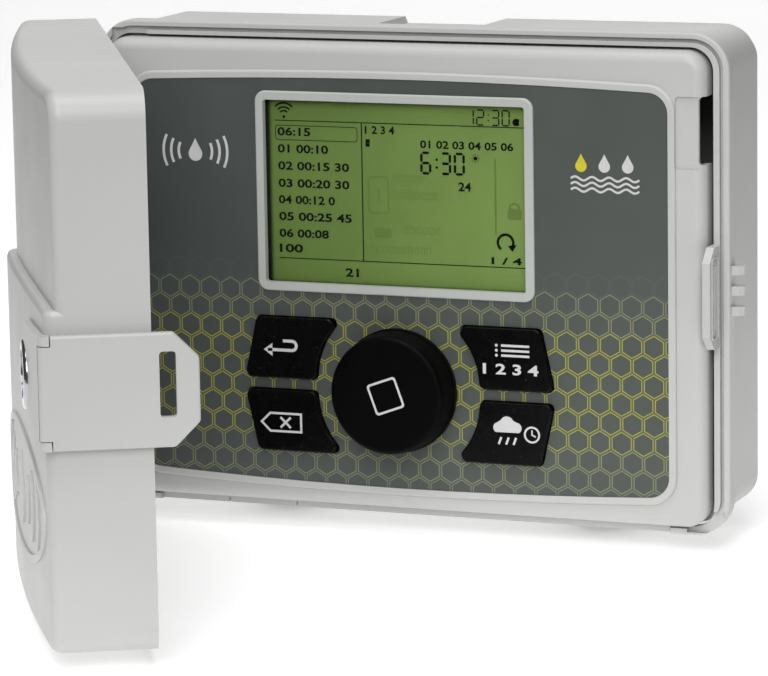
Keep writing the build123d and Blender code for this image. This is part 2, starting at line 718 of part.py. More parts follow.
with BuildPart() as dial_knob:
    with BuildSketch(front_plane(dial_back)):
        with Locations((dial_x, dial_z)):
            Circle(dial_base_radius)
    extrude(amount=dial_foot_height)
    with BuildSketch(front_plane(dial_back + dial_foot_height)):
        with Locations((dial_x, dial_z)):
            Circle(dial_base_radius - 0.3)
    extrude(amount=dial_front - dial_back - dial_foot_height, taper=dial_taper)
    fillet(dial_knob.faces().sort_by(Axis.Y)[0].edges(), 1.8)
    with BuildSketch(front_plane(dial_back)):
        with Locations((dial_x, dial_z)):
            Circle(dial_base_radius - dial_shell)
            Circle(dial_hub_radius, mode=Mode.SUBTRACT)
    extrude(amount=8.5, mode=Mode.SUBTRACT)
    with BuildSketch(front_plane(dial_back)):
        with Locations((dial_x, dial_z)):
            Circle(shaft_radius + running_gap)
    extrude(amount=9.4, mode=Mode.SUBTRACT)
    with BuildSketch(front_plane(dial_front - mark_depth)):
        with Locations((dial_x, dial_z)):
            with Locations(Location((0, 0), mark_turn)):
                RectangleRounded(mark_size, mark_size, 1.2)
                mark_inside = mark_size - 2 * mark_line
                RectangleRounded(mark_inside, mark_inside, 0.8, mode=Mode.SUBTRACT)
    extrude(amount=3, mode=Mode.SUBTRACT)
dial_knob.part.label = "dial_knob"

with BuildPart() as dial_mark:
    with BuildSketch(front_plane(dial_front - mark_depth)):
        with Locations((dial_x, dial_z)):
            with Locations(Location((0, 0), mark_turn)):
                RectangleRounded(mark_size, mark_size, 1.2)
                mark_inside = mark_size - 2 * mark_line
                RectangleRounded(mark_inside, mark_inside, 0.8, mode=Mode.SUBTRACT)
    extrude(amount=mark_depth)
dial_mark.part.label = "dial_mark"

keys = []
for name, side_x, side_z in key_signs():
    with BuildPart() as key:
        with BuildSketch(front_plane(panel_skin - 0.6)) as cap:
            key_outline(side_x, side_z, 0)
            fillet(cap.vertices(), key_rounding)
        extrude(amount=key_front - panel_skin + 0.6)
        fillet(key.faces().sort_by(Axis.Y)[0].edges(), 0.6)
        with BuildSketch(front_plane(panel_skin - 1.6)) as flange:
            key_outline(side_x, side_z, 1.2)
            fillet(flange.vertices(), 3)
        extrude(amount=1.3)
        with BuildSketch(front_plane(board_front + 3.4)):
            with Locations((dial_x + side_x * key_centre_x, dial_z + side_z * key_centre_z)):
                Circle(4)
        extrude(amount=panel_skin - board_front - 4.8)
    key.part.label = name
    keys.append(key)

with BuildPart() as panel_cover:
    with BuildSketch(front_plane(cover_depth)):
        with Locations((panel_x, panel_z)):
            RectangleRounded(206, 158, 5)
    extrude(amount=board_back - 0.6 - cover_depth)
    fillet(panel_cover.faces().sort_by(Axis.Y)[-1].edges(), 2)
    with BuildSketch(front_plane(cover_depth + 2)):
        with Locations((panel_x, panel_z)):
            RectangleRounded(202, 154, 4)
            with GridLocations(pillar_pitch_x, pillar_pitch_z, 2, 2):
                Circle(5, mode=Mode.SUBTRACT)
    extrude(amount=through, mode=Mode.SUBTRACT)
    with BuildSketch(front_plane(cover_depth)):
        with Locations((panel_x, panel_z)):
            with GridLocations(pillar_pitch_x, pillar_pitch_z, 2, 2):
                Circle(1.7)
    extrude(amount=through, mode=Mode.SUBTRACT)
    with BuildSketch(front_plane(cover_depth)):
        with Locations((panel_x, panel_z + 30)):
            with GridLocations(8, 1, 12, 1):
                SlotOverall(26, 3, rotation=90)
    extrude(amount=2, mode=Mode.SUBTRACT)
panel_cover.part.label = "panel_cover"

with BuildPart() as cover_screws:
    with BuildSketch(front_plane(cover_depth - 1.8)):
        with Locations((panel_x, panel_z)):
            with GridLocations(pillar_pitch_x, pillar_pitch_z, 2, 2):
                Circle(3)
    extrude(amount=1.8)
    with BuildSketch(front_plane(cover_depth)):
        with Locations((panel_x, panel_z)):
            with GridLocations(pillar_pitch_x, pillar_pitch_z, 2, 2):
                Circle(1.3)
    extrude(amount=18)
cover_screws.part.label = "cover_screws"

with BuildPart() as cell_holder:
    with BuildSketch(front_plane(board_back - 5.4)):
        with Locations((cell_x, cell_z)):
            Circle(cell_radius + 3)
            Circle(cell_radius + 0.3, mode=Mode.SUBTRACT)
    extrude(amount=5.4)
cell_holder.part.label = "cell_holder"

with BuildPart() as coin_cell:
    with BuildSketch(front_plane(board_back - 3.6)):
        with Locations((cell_x, cell_z)):
            Circle(cell_radius)
    extrude(amount=3.2)
    fillet(coin_cell.edges(), 0.4)
coin_cell.part.label = "coin_cell"

with BuildPart() as radio_module:
    with BuildSketch(front_plane(board_back - 3.2)):
        with Locations((-80, 50)):
            Rectangle(18, 24)
    extrude(amount=3.2)
    chamfer(radio_module.faces().sort_by(Axis.Y)[-1].edges(), 0.4)
radio_module.part.label = "radio_module"

with BuildPart() as cable_plug:
    with BuildSketch(front_plane(board_back - 7)):
        with Locations((-84, -10)):
            Rectangle(9, 26)
    extrude(amount=7)
    chamfer(cable_plug.faces().sort_by(Axis.Y)[-1].edges(), 0.8)
cable_plug.part.label = "cable_plug"

with BuildPart() as power_relay:
    with BuildSketch(front_plane(board_back - 10)):
        with Locations((20, -55), (42, -55)):
            Rectangle(16, 19)
    extrude(amount=10)
    fillet(power_relay.edges().filter_by(Axis.Y), 1)
power_relay.part.label = "power_relays"

# ---------------------------------------------------------------- door, drawn closed
door_outer = door_block(0, 0, door_back, door_edge_radius)
door_thick = door_block(0, lower_raise, door_back, door_edge_radius)
door_hollow = door_block(-door_wall, -door_wall, door_back - 10, 0)

with BuildPart() as raised_region:
    with BuildSketch(front_plane(door_back + 10)):
        with BuildLine():
            Polyline((125, arch_free_side), (125, -100), (-125, -100), (-125, arch_hinge_side))
            ThreePointArc((-125, arch_hinge_side), (arch_top_x, arch_top), (125, arch_free_side))
        make_face()
    extrude(amount=60)
    add(door_thick, mode=Mode.INTERSECT)
    # The step's front edge is rounded along the arch.
    front_edges = raised_region.faces().sort_by(Axis.Y)[0].edges()
    fillet(front_edges.sort_by(Axis.Z)[-1], arch_rounding)

with BuildPart() as door_shell:
    add(door_outer)
    add(raised_region.part)
    add(door_hollow, mode=Mode.SUBTRACT)
    # Hinge knuckles, two beside each of the case's, and their pin holes.
    for side in (-1, 1):
        knuckle_z = side * knuckle_middle
        for step in (-1, 1):
            own_z = knuckle_z + step * (knuckle_length + knuckle_gap)
            with BuildSketch(Plane.XY.offset(own_z - knuckle_length / 2)):
                with Locations((hinge_x, -hinge_depth)):
                    Circle(knuckle_radius)
                with Locations((hinge_x + 1.9, -hinge_depth - 2.5)):
                    Rectangle(3.6, 4.2)
            extrude(amount=knuckle_length)
        with BuildSketch(Plane.XY.offset(knuckle_z - knuckle_length / 2 - knuckle_gap)):
            with Locations((hinge_x, -hinge_depth)):
                Circle(knuckle_radius + knuckle_gap)
        extrude(amount=knuckle_length + 2 * knuckle_gap, mode=Mode.SUBTRACT)
        with BuildSketch(Plane.XY.offset(knuckle_z - 2 * knuckle_length)):
            with Locations((hinge_x, -hinge_depth)):
                Circle(pin_radius + running_gap)
        extrude(amount=4 * knuckle_length, mode=Mode.SUBTRACT)
    # Seat and hole for the lock.
    with BuildSketch(front_plane(lock_seat)):
        with Locations((lock_x, lock_z)):
            Circle(lock_ring_radius + 0.4)
    extrude(amount=10, mode=Mode.SUBTRACT)
    with BuildSketch(front_plane(door_back + 5)):
        with Locations((lock_x, lock_z)):
            Circle(lock_barrel_radius + 0.05)
    extrude(amount=through, mode=Mode.SUBTRACT)
door_shell.part.label = "door_shell"

arm_height = arm_top - arm_bottom
slot_z, slot_height = span(slot_bottom, slot_top)
latch_pin_x = arm_inner + arm_thickness - latch_knuckle_radius
knuckle_low, knuckle_high = arm_bottom + eye_thickness, arm_top - eye_thickness
arm_joint_depth = bracket_back - 0.4

with BuildPart() as latch_arm:
    with BuildSketch(Plane.YZ.offset(arm_inner)) as plate:
        with BuildLine():
            Polyline(
                (-arm_joint_depth, arm_bottom),
                (-arm_end_depth - arm_chamfer, arm_bottom),
                (-arm_end_depth, arm_bottom + arm_chamfer),
                (-arm_end_depth, arm_top - arm_chamfer),
                (-arm_end_depth - arm_chamfer, arm_top),
                (-arm_joint_depth, arm_top),
                close=True,
            )
        make_face()
        fillet(plate.vertices().sort_by(Axis.X)[2:], 2)
        with Locations((-(slot_back + slot_front) / 2, slot_z)):
            RectangleRounded(slot_front - slot_back, slot_height, 1.2, mode=Mode.SUBTRACT)
    extrude(amount=arm_thickness)
    rounded = latch_arm.faces().sort_by(Axis.X)[-1].outer_wire().edges().sort_by(Axis.Y)[1:]
    fillet(rounded, 0.8)
    # The barrel between the bracket's eyes, and the web that joins it to the plate.
    web_depth, web_length = span(arm_joint_depth - 1, latch_pin_depth)
    with BuildSketch(Plane.XY.offset(knuckle_low + eye_gap)):
        with Locations((latch_pin_x, -latch_pin_depth)):
            Circle(latch_knuckle_radius)
        with Locations((arm_inner + arm_thickness / 2, -web_depth)):
            Rectangle(arm_thickness, web_length)
    extrude(amount=knuckle_high - knuckle_low - 2 * eye_gap)
    with BuildSketch(Plane.XY.offset(arm_bottom - 1)):
        with Locations((latch_pin_x, -latch_pin_depth)):
            Circle(latch_pin_radius + running_gap)
    extrude(amount=arm_height + 2, mode=Mode.SUBTRACT)
latch_arm.part.label = "latch_arm"

# The bracket lies on the door's front and ends in two eyes that hold the arm's pin.
bracket_outer = door_block(3.4, lower_raise + 2.4, door_back + 5, 3.0)
bracket_inner = door_block(0.4, lower_raise + 0.05, door_back + 5, 4.0)
with BuildPart() as latch_bracket:
    with BuildSketch(front_plane(bracket_back)):
        with BuildLine():
            Polyline(
                (bracket_left, arm_top),
                (door_right + 5, arm_top),
                (door_right + 5, arm_bottom),
                (bracket_left + bracket_cut, arm_bottom),
                (bracket_left, arm_bottom + bracket_cut),
                close=True,
            )
        make_face()
    extrude(amount=30)
    add(bracket_outer, mode=Mode.INTERSECT)
    add(bracket_inner, mode=Mode.SUBTRACT)
    with BuildSketch(Plane.XY.offset(knuckle_low)):
        with Locations((latch_pin_x, -latch_pin_depth)):
            Circle(latch_knuckle_radius + knuckle_gap)
        with Locations((latch_pin_x, -latch_pin_depth + 2)):
            Rectangle(2 * latch_knuckle_radius + 2 * knuckle_gap + 1, 4)
    extrude(amount=knuckle_high - knuckle_low, mode=Mode.SUBTRACT)
    with BuildSketch(front_plane(door_back + 10)):
        with Locations((lock_x, lock_z)):
            Circle(lock_ring_radius + 0.5)
    extrude(amount=through, mode=Mode.SUBTRACT)
    with BuildSketch(Plane.XY.offset(arm_bottom - 1)):
        with Locations((latch_pin_x, -latch_pin_depth)):
            Circle(latch_pin_radius)
    extrude(amount=arm_height + 2, mode=Mode.SUBTRACT)
latch_bracket.part.label = "latch_bracket"

with BuildPart() as latch_pin:
    with BuildSketch(Plane.XY.offset(arm_bottom + 0.5)):
        with Locations((latch_pin_x, -latch_pin_depth)):
            Circle(latch_pin_radius)
    extrude(amount=arm_height - 1)
latch_pin.part.label = "latch_pin"

with BuildPart() as lock_ring:
    with BuildSketch(front_plane(lock_seat)):
        with Locations((lock_x, lock_z)):
            Circle(lock_ring_radius)
            Circle(lock_ring_bore, mode=Mode.SUBTRACT)
    extrude(amount=lock_ring_height)
    fillet(lock_ring.faces().sort_by(Axis.Y)[0].edges().sort_by(SortBy.LENGTH)[-1], 1.4)
lock_ring.part.label = "lock_ring"

barrel_back = cam_back + cam_thickness + 0.4
with BuildPart() as lock_barrel:
    with BuildSketch(front_plane(barrel_back)):
        with Locations((lock_x, lock_z)):
            Circle(lock_barrel_radius)
    extrude(amount=lock_seat - barrel_back)
    with BuildSketch(front_plane(lock_seat)):
        with Locations((lock_x, lock_z)):
            Circle(lock_ring_bore - 0.1)
    extrude(amount=lock_ring_height - lock_face_step)
    with BuildSketch(front_plane(barrel_back - 1)):
        with Locations((lock_x, lock_z)):
            Circle(lock_plug_radius + 0.05)
    extrude(amount=through, mode=Mode.SUBTRACT)
lock_barrel.part.label = "lock_barrel"

with BuildPart() as lock_plug:
    with BuildSketch(front_plane(cam_back + cam_thickness)):
        with Locations((lock_x, lock_z)):
            Circle(lock_plug_radius)
    extrude(amount=lock_seat + lock_ring_height - lock_plug_step - cam_back - cam_thickness)
    fillet(lock_plug.faces().sort_by(Axis.Y)[0].edges(), 0.6)
    with BuildSketch(front_plane(lock_seat - 10)):
        with Locations((lock_x, lock_z)):
            Rectangle(1.8, 7.6)
            with Locations((0.9, -1.6)):
                Rectangle(1.4, 1.6)
    extrude(amount=through, mode=Mode.SUBTRACT)
lock_plug.part.label = "lock_plug"

with BuildPart() as lock_cam:
    with BuildSketch(front_plane(cam_back)):
        with Locations((lock_x, lock_z)):
            Circle(cam_half_width + 2)
            with Locations((0, -cam_length / 2 + 0.2)):
                Rectangle(2 * cam_half_width, cam_length - 0.4)
    extrude(amount=cam_thickness)
    fillet(lock_cam.edges().filter_by(Axis.Y).group_by(Axis.Z)[0], 1)
lock_cam.part.label = "lock_cam"

with BuildPart() as cam_screw:
    with BuildSketch(front_plane(cam_back - 1.1)):
        with Locations((lock_x, lock_z)):
            Circle(3.4)
            Rectangle(3.6, 0.9, mode=Mode.SUBTRACT)
    extrude(amount=1.1)
cam_screw.part.label = "cam_screw"

with BuildPart() as lock_nut:
    with BuildSketch(front_plane(lock_seat - 11)):
        with Locations((lock_x, lock_z)):
            RegularPolygon(13.5, 6)
            Circle(lock_barrel_radius + 0.05, mode=Mode.SUBTRACT)
    extrude(amount=3.5)
lock_nut.part.label = "lock_nut"

for piece in (
    case_shell,
    drip_rail,
    hub_nuts,
    terminal_board,
    board_screws,
    terminal_blocks,
    terminal_screws,
    transformer_core,
    transformer_coil,
    transformer_strap,
    transformer_screws,
    door_hinge_pins,
    panel_hinge_pins,
    panel_bezel,
    label_overlay,
    display_frame,
    display_window,
    display_module,
    display_backlight,
    main_board,
    keypad_mat,
    encoder_body,
    encoder_shaft,
    dial_knob,
    dial_mark,
    panel_cover,
    cover_screws,
    cell_holder,
    coin_cell,
    radio_module,
    cable_plug,
    power_relay,
    conduit_hub,
    power_hub,
    *keys,
):
    export_step(piece.part, f"parts/{piece.part.label}.step")

for piece in (
    door_shell,
    latch_arm,
    latch_bracket,
    latch_pin,
    lock_ring,
    lock_barrel,
    lock_plug,
    lock_cam,
    cam_screw,
    lock_nut,
):
    opened = piece.part.rotate(hinge_axis, -door_rest_angle)
    opened.label = piece.part.label
    export_step(opened, f"parts/{piece.part.label}.step")
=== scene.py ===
import math

import bmesh
import bpy
from mathutils import Matrix, Vector


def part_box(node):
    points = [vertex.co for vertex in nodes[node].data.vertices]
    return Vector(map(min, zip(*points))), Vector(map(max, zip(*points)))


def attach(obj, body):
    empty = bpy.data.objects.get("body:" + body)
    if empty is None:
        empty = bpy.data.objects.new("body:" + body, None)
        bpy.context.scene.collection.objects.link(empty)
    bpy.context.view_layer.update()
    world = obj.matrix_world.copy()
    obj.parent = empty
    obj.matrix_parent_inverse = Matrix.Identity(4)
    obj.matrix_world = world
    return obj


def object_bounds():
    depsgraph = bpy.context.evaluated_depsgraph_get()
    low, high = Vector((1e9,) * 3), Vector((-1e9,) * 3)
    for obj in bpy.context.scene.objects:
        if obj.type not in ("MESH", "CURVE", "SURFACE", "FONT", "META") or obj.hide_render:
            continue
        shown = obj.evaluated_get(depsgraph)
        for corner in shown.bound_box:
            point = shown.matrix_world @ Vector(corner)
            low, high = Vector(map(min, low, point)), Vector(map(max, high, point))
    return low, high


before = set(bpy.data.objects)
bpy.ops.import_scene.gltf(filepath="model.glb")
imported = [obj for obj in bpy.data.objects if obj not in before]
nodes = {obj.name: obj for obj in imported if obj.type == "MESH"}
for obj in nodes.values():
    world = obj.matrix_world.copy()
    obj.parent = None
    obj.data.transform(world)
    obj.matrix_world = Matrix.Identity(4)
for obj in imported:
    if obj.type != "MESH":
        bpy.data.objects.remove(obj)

cad_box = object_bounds()
MM = 0.001


# ------------------------------------------------------------------ places taken from the frame
def node_box(name):
    """A node's lowest and highest corner in millimetres."""
    low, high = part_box(name)
    return [v / MM for v in low], [v / MM for v in high]


module_low, module_high = node_box("display_module")

# Front faces that carry print, by their Y, and the print's thickness.
LABEL_Y = node_box("label_overlay")[0][1]
KEY_Y = node_box("back_key")[0][1]
CELL_Y = module_low[1]
INK = 0.06

CASE_DEPTH = 54.0


# ------------------------------------------------------------------ materials
def shader(name):
    """A new node material: its tree, its Principled shader and a helper that adds nodes."""
    material = bpy.data.materials.new(name)
    material.use_nodes = True
    tree = material.node_tree
    principled = tree.nodes["Principled BSDF"]

    def add(kind, **values):
        node = tree.nodes.new(kind)
        for key, value in values.items():
            setattr(node, key, value)
        return node

    return material, tree, principled, add


def noise(add, tree, coordinates, scale, detail=3.0, roughness=0.55):
    """A noise texture on object coordinates, with its value output."""
    node = add("ShaderNodeTexNoise")
    node.inputs["Scale"].default_value = scale
    node.inputs["Detail"].default_value = detail
    node.inputs["Roughness"].default_value = roughness
    tree.links.new(coordinates, node.inputs["Vector"])
    return node.outputs["Fac"]


def remap(add, tree, value, low, high, start=0.3, end=0.7):
    """Turns a noise value into a range."""
    node = add("ShaderNodeMapRange")
    node.inputs["From Min"].default_value = start
    node.inputs["From Max"].default_value = end
    node.inputs["To Min"].default_value = low
    node.inputs["To Max"].default_value = high
    tree.links.new(value, node.inputs["Value"])
    return node.outputs["Result"]


SPECK_SCALE = 900.0
SPECK_START, SPECK_FULL = 0.72, 0.8
GLOSS_SCALE = 3.1
GRAIN_DEPTH = 0.0004
FILM_GRAIN_DEPTH = 0.0003
FILM_SHADE_LOW, FILM_SHADE_HIGH = 0.93, 1.04


def surface(
    name,
    colour,
    roughness=0.45,
    spread=0.05,
    patch_scale=14.0,
    grain_scale=2200.0,
    grain=0.06,
    roughness_spread=0.05,
    metallic=0.0,
    specular=0.5,
    coat=0.0,
    coat_roughness=0.15,
    speck=0.0,
    speck_colour=(0.5, 0.5, 0.5),
):
    """A moulded or coated surface: patchy colour, varied gloss and a fine grain."""
    material, tree, principled, add = shader(name)
    coordinates = add("ShaderNodeTexCoord").outputs["Object"]
    patches = noise(add, tree, coordinates, patch_scale, 4.0)
    mix = add("ShaderNodeMix", data_type="RGBA")
    darker = [c * (1 - spread) for c in colour]
    lighter = [min(1.0, c * (1 + spread)) for c in colour]
    mix.inputs[6].default_value = (*darker, 1)
    mix.inputs[7].default_value = (*lighter, 1)
    tree.links.new(remap(add, tree, patches, 0, 1), mix.inputs[0])
    colour_out = mix.outputs[2]
    if speck:
        dots = noise(add, tree, coordinates, SPECK_SCALE, 1.0, 0.4)
        dust = add("ShaderNodeMix", data_type="RGBA")
        dust.inputs[7].default_value = (*speck_colour, 1)
        tree.links.new(colour_out, dust.inputs[6])
        speck_cover = remap(add, tree, dots, 0, speck, SPECK_START, SPECK_FULL)
        tree.links.new(speck_cover, dust.inputs[0])
        colour_out = dust.outputs[2]
    tree.links.new(colour_out, principled.inputs["Base Color"])
    gloss = noise(add, tree, coordinates, patch_scale * GLOSS_SCALE, 5.0)
    tree.links.new(
        remap(add, tree, gloss, roughness - roughness_spread, roughness + roughness_spread),
        principled.inputs["Roughness"],
    )
    fine = noise(add, tree, coordinates, grain_scale, 2.0)
    bump = add("ShaderNodeBump")
    bump.inputs["Strength"].default_value = grain
    bump.inputs["Distance"].default_value = GRAIN_DEPTH
    tree.links.new(fine, bump.inputs["Height"])
    tree.links.new(bump.outputs["Normal"], principled.inputs["Normal"])
    principled.inputs["Metallic"].default_value = metallic
    principled.inputs["Specular IOR Level"].default_value = specular
    principled.inputs["Coat Weight"].default_value = coat
    principled.inputs["Coat Roughness"].default_value = coat_roughness
    return material


def graded(name, low_colour, high_colour, start, end, roughness, grain):
    """A surface whose colour runs from x = start to x = end, with a fine grain."""
    material, tree, principled, add = shader(name)
    coordinates = add("ShaderNodeTexCoord").outputs["Object"]
    split = add("ShaderNodeSeparateXYZ")
    tree.links.new(coordinates, split.inputs[0])
    place = remap(add, tree, split.outputs[0], 0, 1, start * MM, end * MM)
    mix = add("ShaderNodeMix", data_type="RGBA")
    mix.inputs[6].default_value = (*low_colour, 1)
    mix.inputs[7].default_value = (*high_colour, 1)
    tree.links.new(place, mix.inputs[0])
    patches = noise(add, tree, coordinates, 30.0, 5.0)
    shade = add("ShaderNodeMix", data_type="RGBA", blend_type="MULTIPLY")
    shade.inputs[0].default_value = 1.0
    tree.links.new(mix.outputs[2], shade.inputs[6])
    grey = remap(add, tree, patches, FILM_SHADE_LOW, FILM_SHADE_HIGH)
    tree.links.new(grey, shade.inputs[7])
    tree.links.new(shade.outputs[2], principled.inputs["Base Color"])
    gloss = noise(add, tree, coordinates, 60.0, 4.0)
    tree.links.new(
        remap(add, tree, gloss, roughness - 0.04, roughness + 0.04), principled.inputs["Roughness"]
    )
    bump = add("ShaderNodeBump")
    bump.inputs["Strength"].default_value = grain
    bump.inputs["Distance"].default_value = FILM_GRAIN_DEPTH
    tree.links.new(noise(add, tree, coordinates, 1800.0, 2.0), bump.inputs["Height"])
    tree.links.new(bump.outputs["Normal"], principled.inputs["Normal"])
    return material


def linear(hex_colour):
    """An sRGB hex colour as linear values."""
    parts = [int(hex_colour[i : i + 2], 16) / 255 for i in (0, 2, 4)]
    return [p / 12.92 if p <= 0.04045 else ((p + 0.055) / 1.055) ** 2.4 for p in parts]


HEX_PITCH = 8.06
HEX_ROW = HEX_PITCH * math.sqrt(3) / 2
HEX_FIRST_X, HEX_FIRST_Z = -91.2, -7.35
HEX_LINE_OUT, HEX_LINE_IN = 3.66, 3.42
# How strongly each row of hexagons is printed, counted down from the first clear row.
HEX_TONES = (
    (-2, 0.0),
    (-1, 0.06),
    (0, 0.5),
    (1, 0.6),
    (2, 0.95),
    (6, 1.0),
    (7, 0.9),
    (8, 0.6),
    (10, 0.45),
)
HEX_RAMP_START, HEX_RAMP_ROWS = 3.0, 14.0
HEX_YELLOW_START = 0.45
HEX_GAP_COVER = 0.1


def honeycomb_label(name):
    """The label film: a grey that lightens to the right, with outlined hexagons printed below."""
    material = graded(
        name, linear("464B4A"), linear("484E4A"), start=-103, end=60, roughness=0.5, grain=0.03
    )
    tree = material.node_tree
    principled = tree.nodes["Principled BSDF"]
    film = principled.inputs["Base Color"].links[0].from_socket

    def vector(operation, *inputs):
        node = tree.nodes.new("ShaderNodeVectorMath")
        node.operation = operation
        for socket, value in zip(node.inputs, inputs):
            if isinstance(value, tuple):
                socket.default_value = value
            else:
                tree.links.new(value, socket)
        return node

    def number(operation, *inputs):
        node = tree.nodes.new("ShaderNodeMath")
        node.operation = operation
        for socket, value in zip(node.inputs, inputs):
            if isinstance(value, (int, float)):
                socket.default_value = value
            else:
                tree.links.new(value, socket)
        return node.outputs[0]

    def parts(value):
        node = tree.nodes.new("ShaderNodeSeparateXYZ")
        tree.links.new(value, node.inputs[0])
        return node.outputs

    def colour_mix(factor, first, second):
        node = tree.nodes.new("ShaderNodeMix")
        node.data_type = "RGBA"
        sockets = (node.inputs[0], node.inputs[6], node.inputs[7])
        for socket, value in zip(sockets, (factor, first, second)):
            if isinstance(value, tuple):
                socket.default_value = value
            else:
                tree.links.new(value, socket)
        return node.outputs[2]

    place = tree.nodes.new("ShaderNodeTexCoord").outputs["Object"]
    flat = vector("MULTIPLY", place, (1000.0, 0.0, 1000.0)).outputs[0]
    flat = vector("SUBTRACT", flat, (HEX_FIRST_X, 0.0, HEX_FIRST_Z)).outputs[0]
    high, low = (HEX_PITCH / 2, 1.0, HEX_ROW), (-HEX_PITCH / 2, -1.0, -HEX_ROW)
    even = vector("WRAP", flat, high, low).outputs[0]
    moved = vector("SUBTRACT", flat, (HEX_PITCH / 2, 0.0, HEX_ROW)).outputs[0]
    odd = vector("WRAP", moved, high, low).outputs[0]
    nearer = number(
        "LESS_THAN", vector("LENGTH", even).outputs["Value"], vector("LENGTH", odd).outputs["Value"]
    )
    choose = tree.nodes.new("ShaderNodeMix")
    choose.data_type = "VECTOR"
    tree.links.new(nearer, choose.inputs[0])
    tree.links.new(odd, choose.inputs[4])
    tree.links.new(even, choose.inputs[5])
    offset = choose.outputs[1]
    folded = vector("ABSOLUTE", offset).outputs[0]
    slanted = vector("DOT_PRODUCT", folded, (0.5, 0.0, math.sqrt(3) / 2)).outputs["Value"]
    distance = number("MAXIMUM", parts(folded)[0], slanted)
    beyond = number("GREATER_THAN", distance, HEX_LINE_IN)
    within = number("LESS_THAN", distance, HEX_LINE_OUT)
    line = number("MULTIPLY", beyond, within)
    gap = number("SUBTRACT", beyond, line)
    centre = parts(vector("SUBTRACT", flat, offset).outputs[0])[2]
    row = number("DIVIDE", centre, -HEX_ROW)

    ramp = tree.nodes.new("ShaderNodeValToRGB")
    elements = ramp.color_ramp.elements
    for index, (at, tone) in enumerate(HEX_TONES):
        position = (at + HEX_RAMP_START) / HEX_RAMP_ROWS
        element = elements[index] if index < 2 else elements.new(position)
        element.position = position
        element.color = (tone, tone, tone, 1)
    scaled = number("DIVIDE", number("ADD", row, HEX_RAMP_START), HEX_RAMP_ROWS)
    tree.links.new(scaled, ramp.inputs[0])
    strength = ramp.outputs[0]
    faded, bright = (*linear("82886C"), 1), (*linear("B0B02C"), 1)
    yellow = number("MULTIPLY", number("SUBTRACT", strength, HEX_YELLOW_START), 2.0)
    ink = colour_mix(number("MINIMUM", number("MAXIMUM", yellow, 0.0), 1.0), faded, bright)
    cover = number("MINIMUM", number("MULTIPLY", strength, 2.0), 1.0)
    mottle = tree.nodes.new("ShaderNodeTexNoise")
    mottle.inputs["Scale"].default_value = 800.0
    tree.links.new(place, mottle.inputs["Vector"])
    wear = number("MULTIPLY_ADD", mottle.outputs["Fac"], 0.3, 0.8)
    line_cover = number("MINIMUM", number("MULTIPLY", number("MULTIPLY", line, cover), wear), 1.0)
    gap_cover = number("MULTIPLY", number("MULTIPLY", gap, cover), HEX_GAP_COVER)
    printed = colour_mix(line_cover, colour_mix(gap_cover, film, ink), ink)
    tree.links.new(printed, principled.inputs["Base Color"])
    return material


CELL_LIP = 1.4


def display_cell(name):
    """The display's reflective green, deeper at the left, with painted shade along its edges for
    the bezel's shadow.
    """
    material = graded(
        name, linear("5F773A"), linear("75904C"), start=-50, end=44, roughness=0.5, grain=0.0
    )
    tree = material.node_tree
    principled = tree.nodes["Principled BSDF"]
    principled.inputs["Specular IOR Level"].default_value = 0.05
    colour = principled.inputs["Base Color"].links[0].from_socket
    split = tree.nodes.new("ShaderNodeSeparateXYZ")
    tree.links.new(tree.nodes.new("ShaderNodeTexCoord").outputs["Object"], split.inputs[0])
    left, right = module_low[0] + CELL_LIP, module_high[0] - CELL_LIP
    bottom, top = module_low[2] + CELL_LIP, module_high[2] - CELL_LIP
    # Painted shade for the bezel's shadow: each edge's axis, where its painted shade starts and
    # ends, and how dark it is at the edge.
    for axis, edge, inside, dark in (
        (0, left + 0.4, left + 2.4, 0.04),
        (0, right, right - 1.0, 0.55),
        (2, top, top - 2.2, 0.6),
        (2, bottom, bottom + 0.8, 0.6),
    ):
        painted_edge_shade = tree.nodes.new("ShaderNodeMapRange")
        painted_edge_shade.interpolation_type = "SMOOTHSTEP"
        painted_edge_shade.inputs["From Min"].default_value = edge * MM
        painted_edge_shade.inputs["From Max"].default_value = inside * MM
        painted_edge_shade.inputs["To Min"].default_value = dark
        tree.links.new(split.outputs[axis], painted_edge_shade.inputs["Value"])
        shade = tree.nodes.new("ShaderNodeMix")
        shade.data_type = "RGBA"
        shade.blend_type = "MULTIPLY"
        shade.inputs[0].default_value = 1.0
        tree.links.new(colour, shade.inputs[6])
        tree.links.new(painted_edge_shade.outputs["Result"], shade.inputs[7])
        colour = shade.outputs[2]
    tree.links.new(colour, principled.inputs["Base Color"])
    return material


def clear_window(name):
    """A thin clear window: mostly see-through, with a soft gloss and fine scuffs."""
    material, tree, principled, add = shader(name)
    coordinates = add("ShaderNodeTexCoord").outputs["Object"]
    scuffs = noise(add, tree, coordinates, 400.0, 6.0)
    tree.links.new(remap(add, tree, scuffs, 0.05, 0.16), principled.inputs["Roughness"])
    principled.inputs["Base Color"].default_value = (0.3, 0.32, 0.3, 1)
    principled.inputs["Specular IOR Level"].default_value = 0.06
    principled.inputs["Alpha"].default_value = 0.01
    return material


HOUSING = surface(
    "housing_abs", linear("BDBDBB"), roughness=0.42, spread=0.03, patch_scale=9.0,
    grain_scale=2600.0, grain=0.05, roughness_spread=0.05
)
INNER = surface(
    "housing_inner", linear("A9A9A6"), roughness=0.55, spread=0.04, patch_scale=12.0,
    grain_scale=2000.0, grain=0.08, roughness_spread=0.05
)
LABEL = honeycomb_label("label_polycarbonate")
WHITE_FRAME = surface(
    "display_frame_white", linear("B4B7B3"), roughness=0.35, spread=0.02, patch_scale=20.0,
    grain_scale=2400.0, grain=0.03
)
CELL = display_cell("display_cell")
LCD_INK = surface(
    "display_segments", linear("070D05"), roughness=0.5, spread=0.15, patch_scale=60.0,
    grain_scale=900.0, grain=0.0, specular=0.05
)
GHOST_INK = surface(
    "display_ghost_segments", linear("62773B"), roughness=0.5, spread=0.06, patch_scale=60.0,
    grain_scale=900.0, grain=0.0, specular=0.05
)
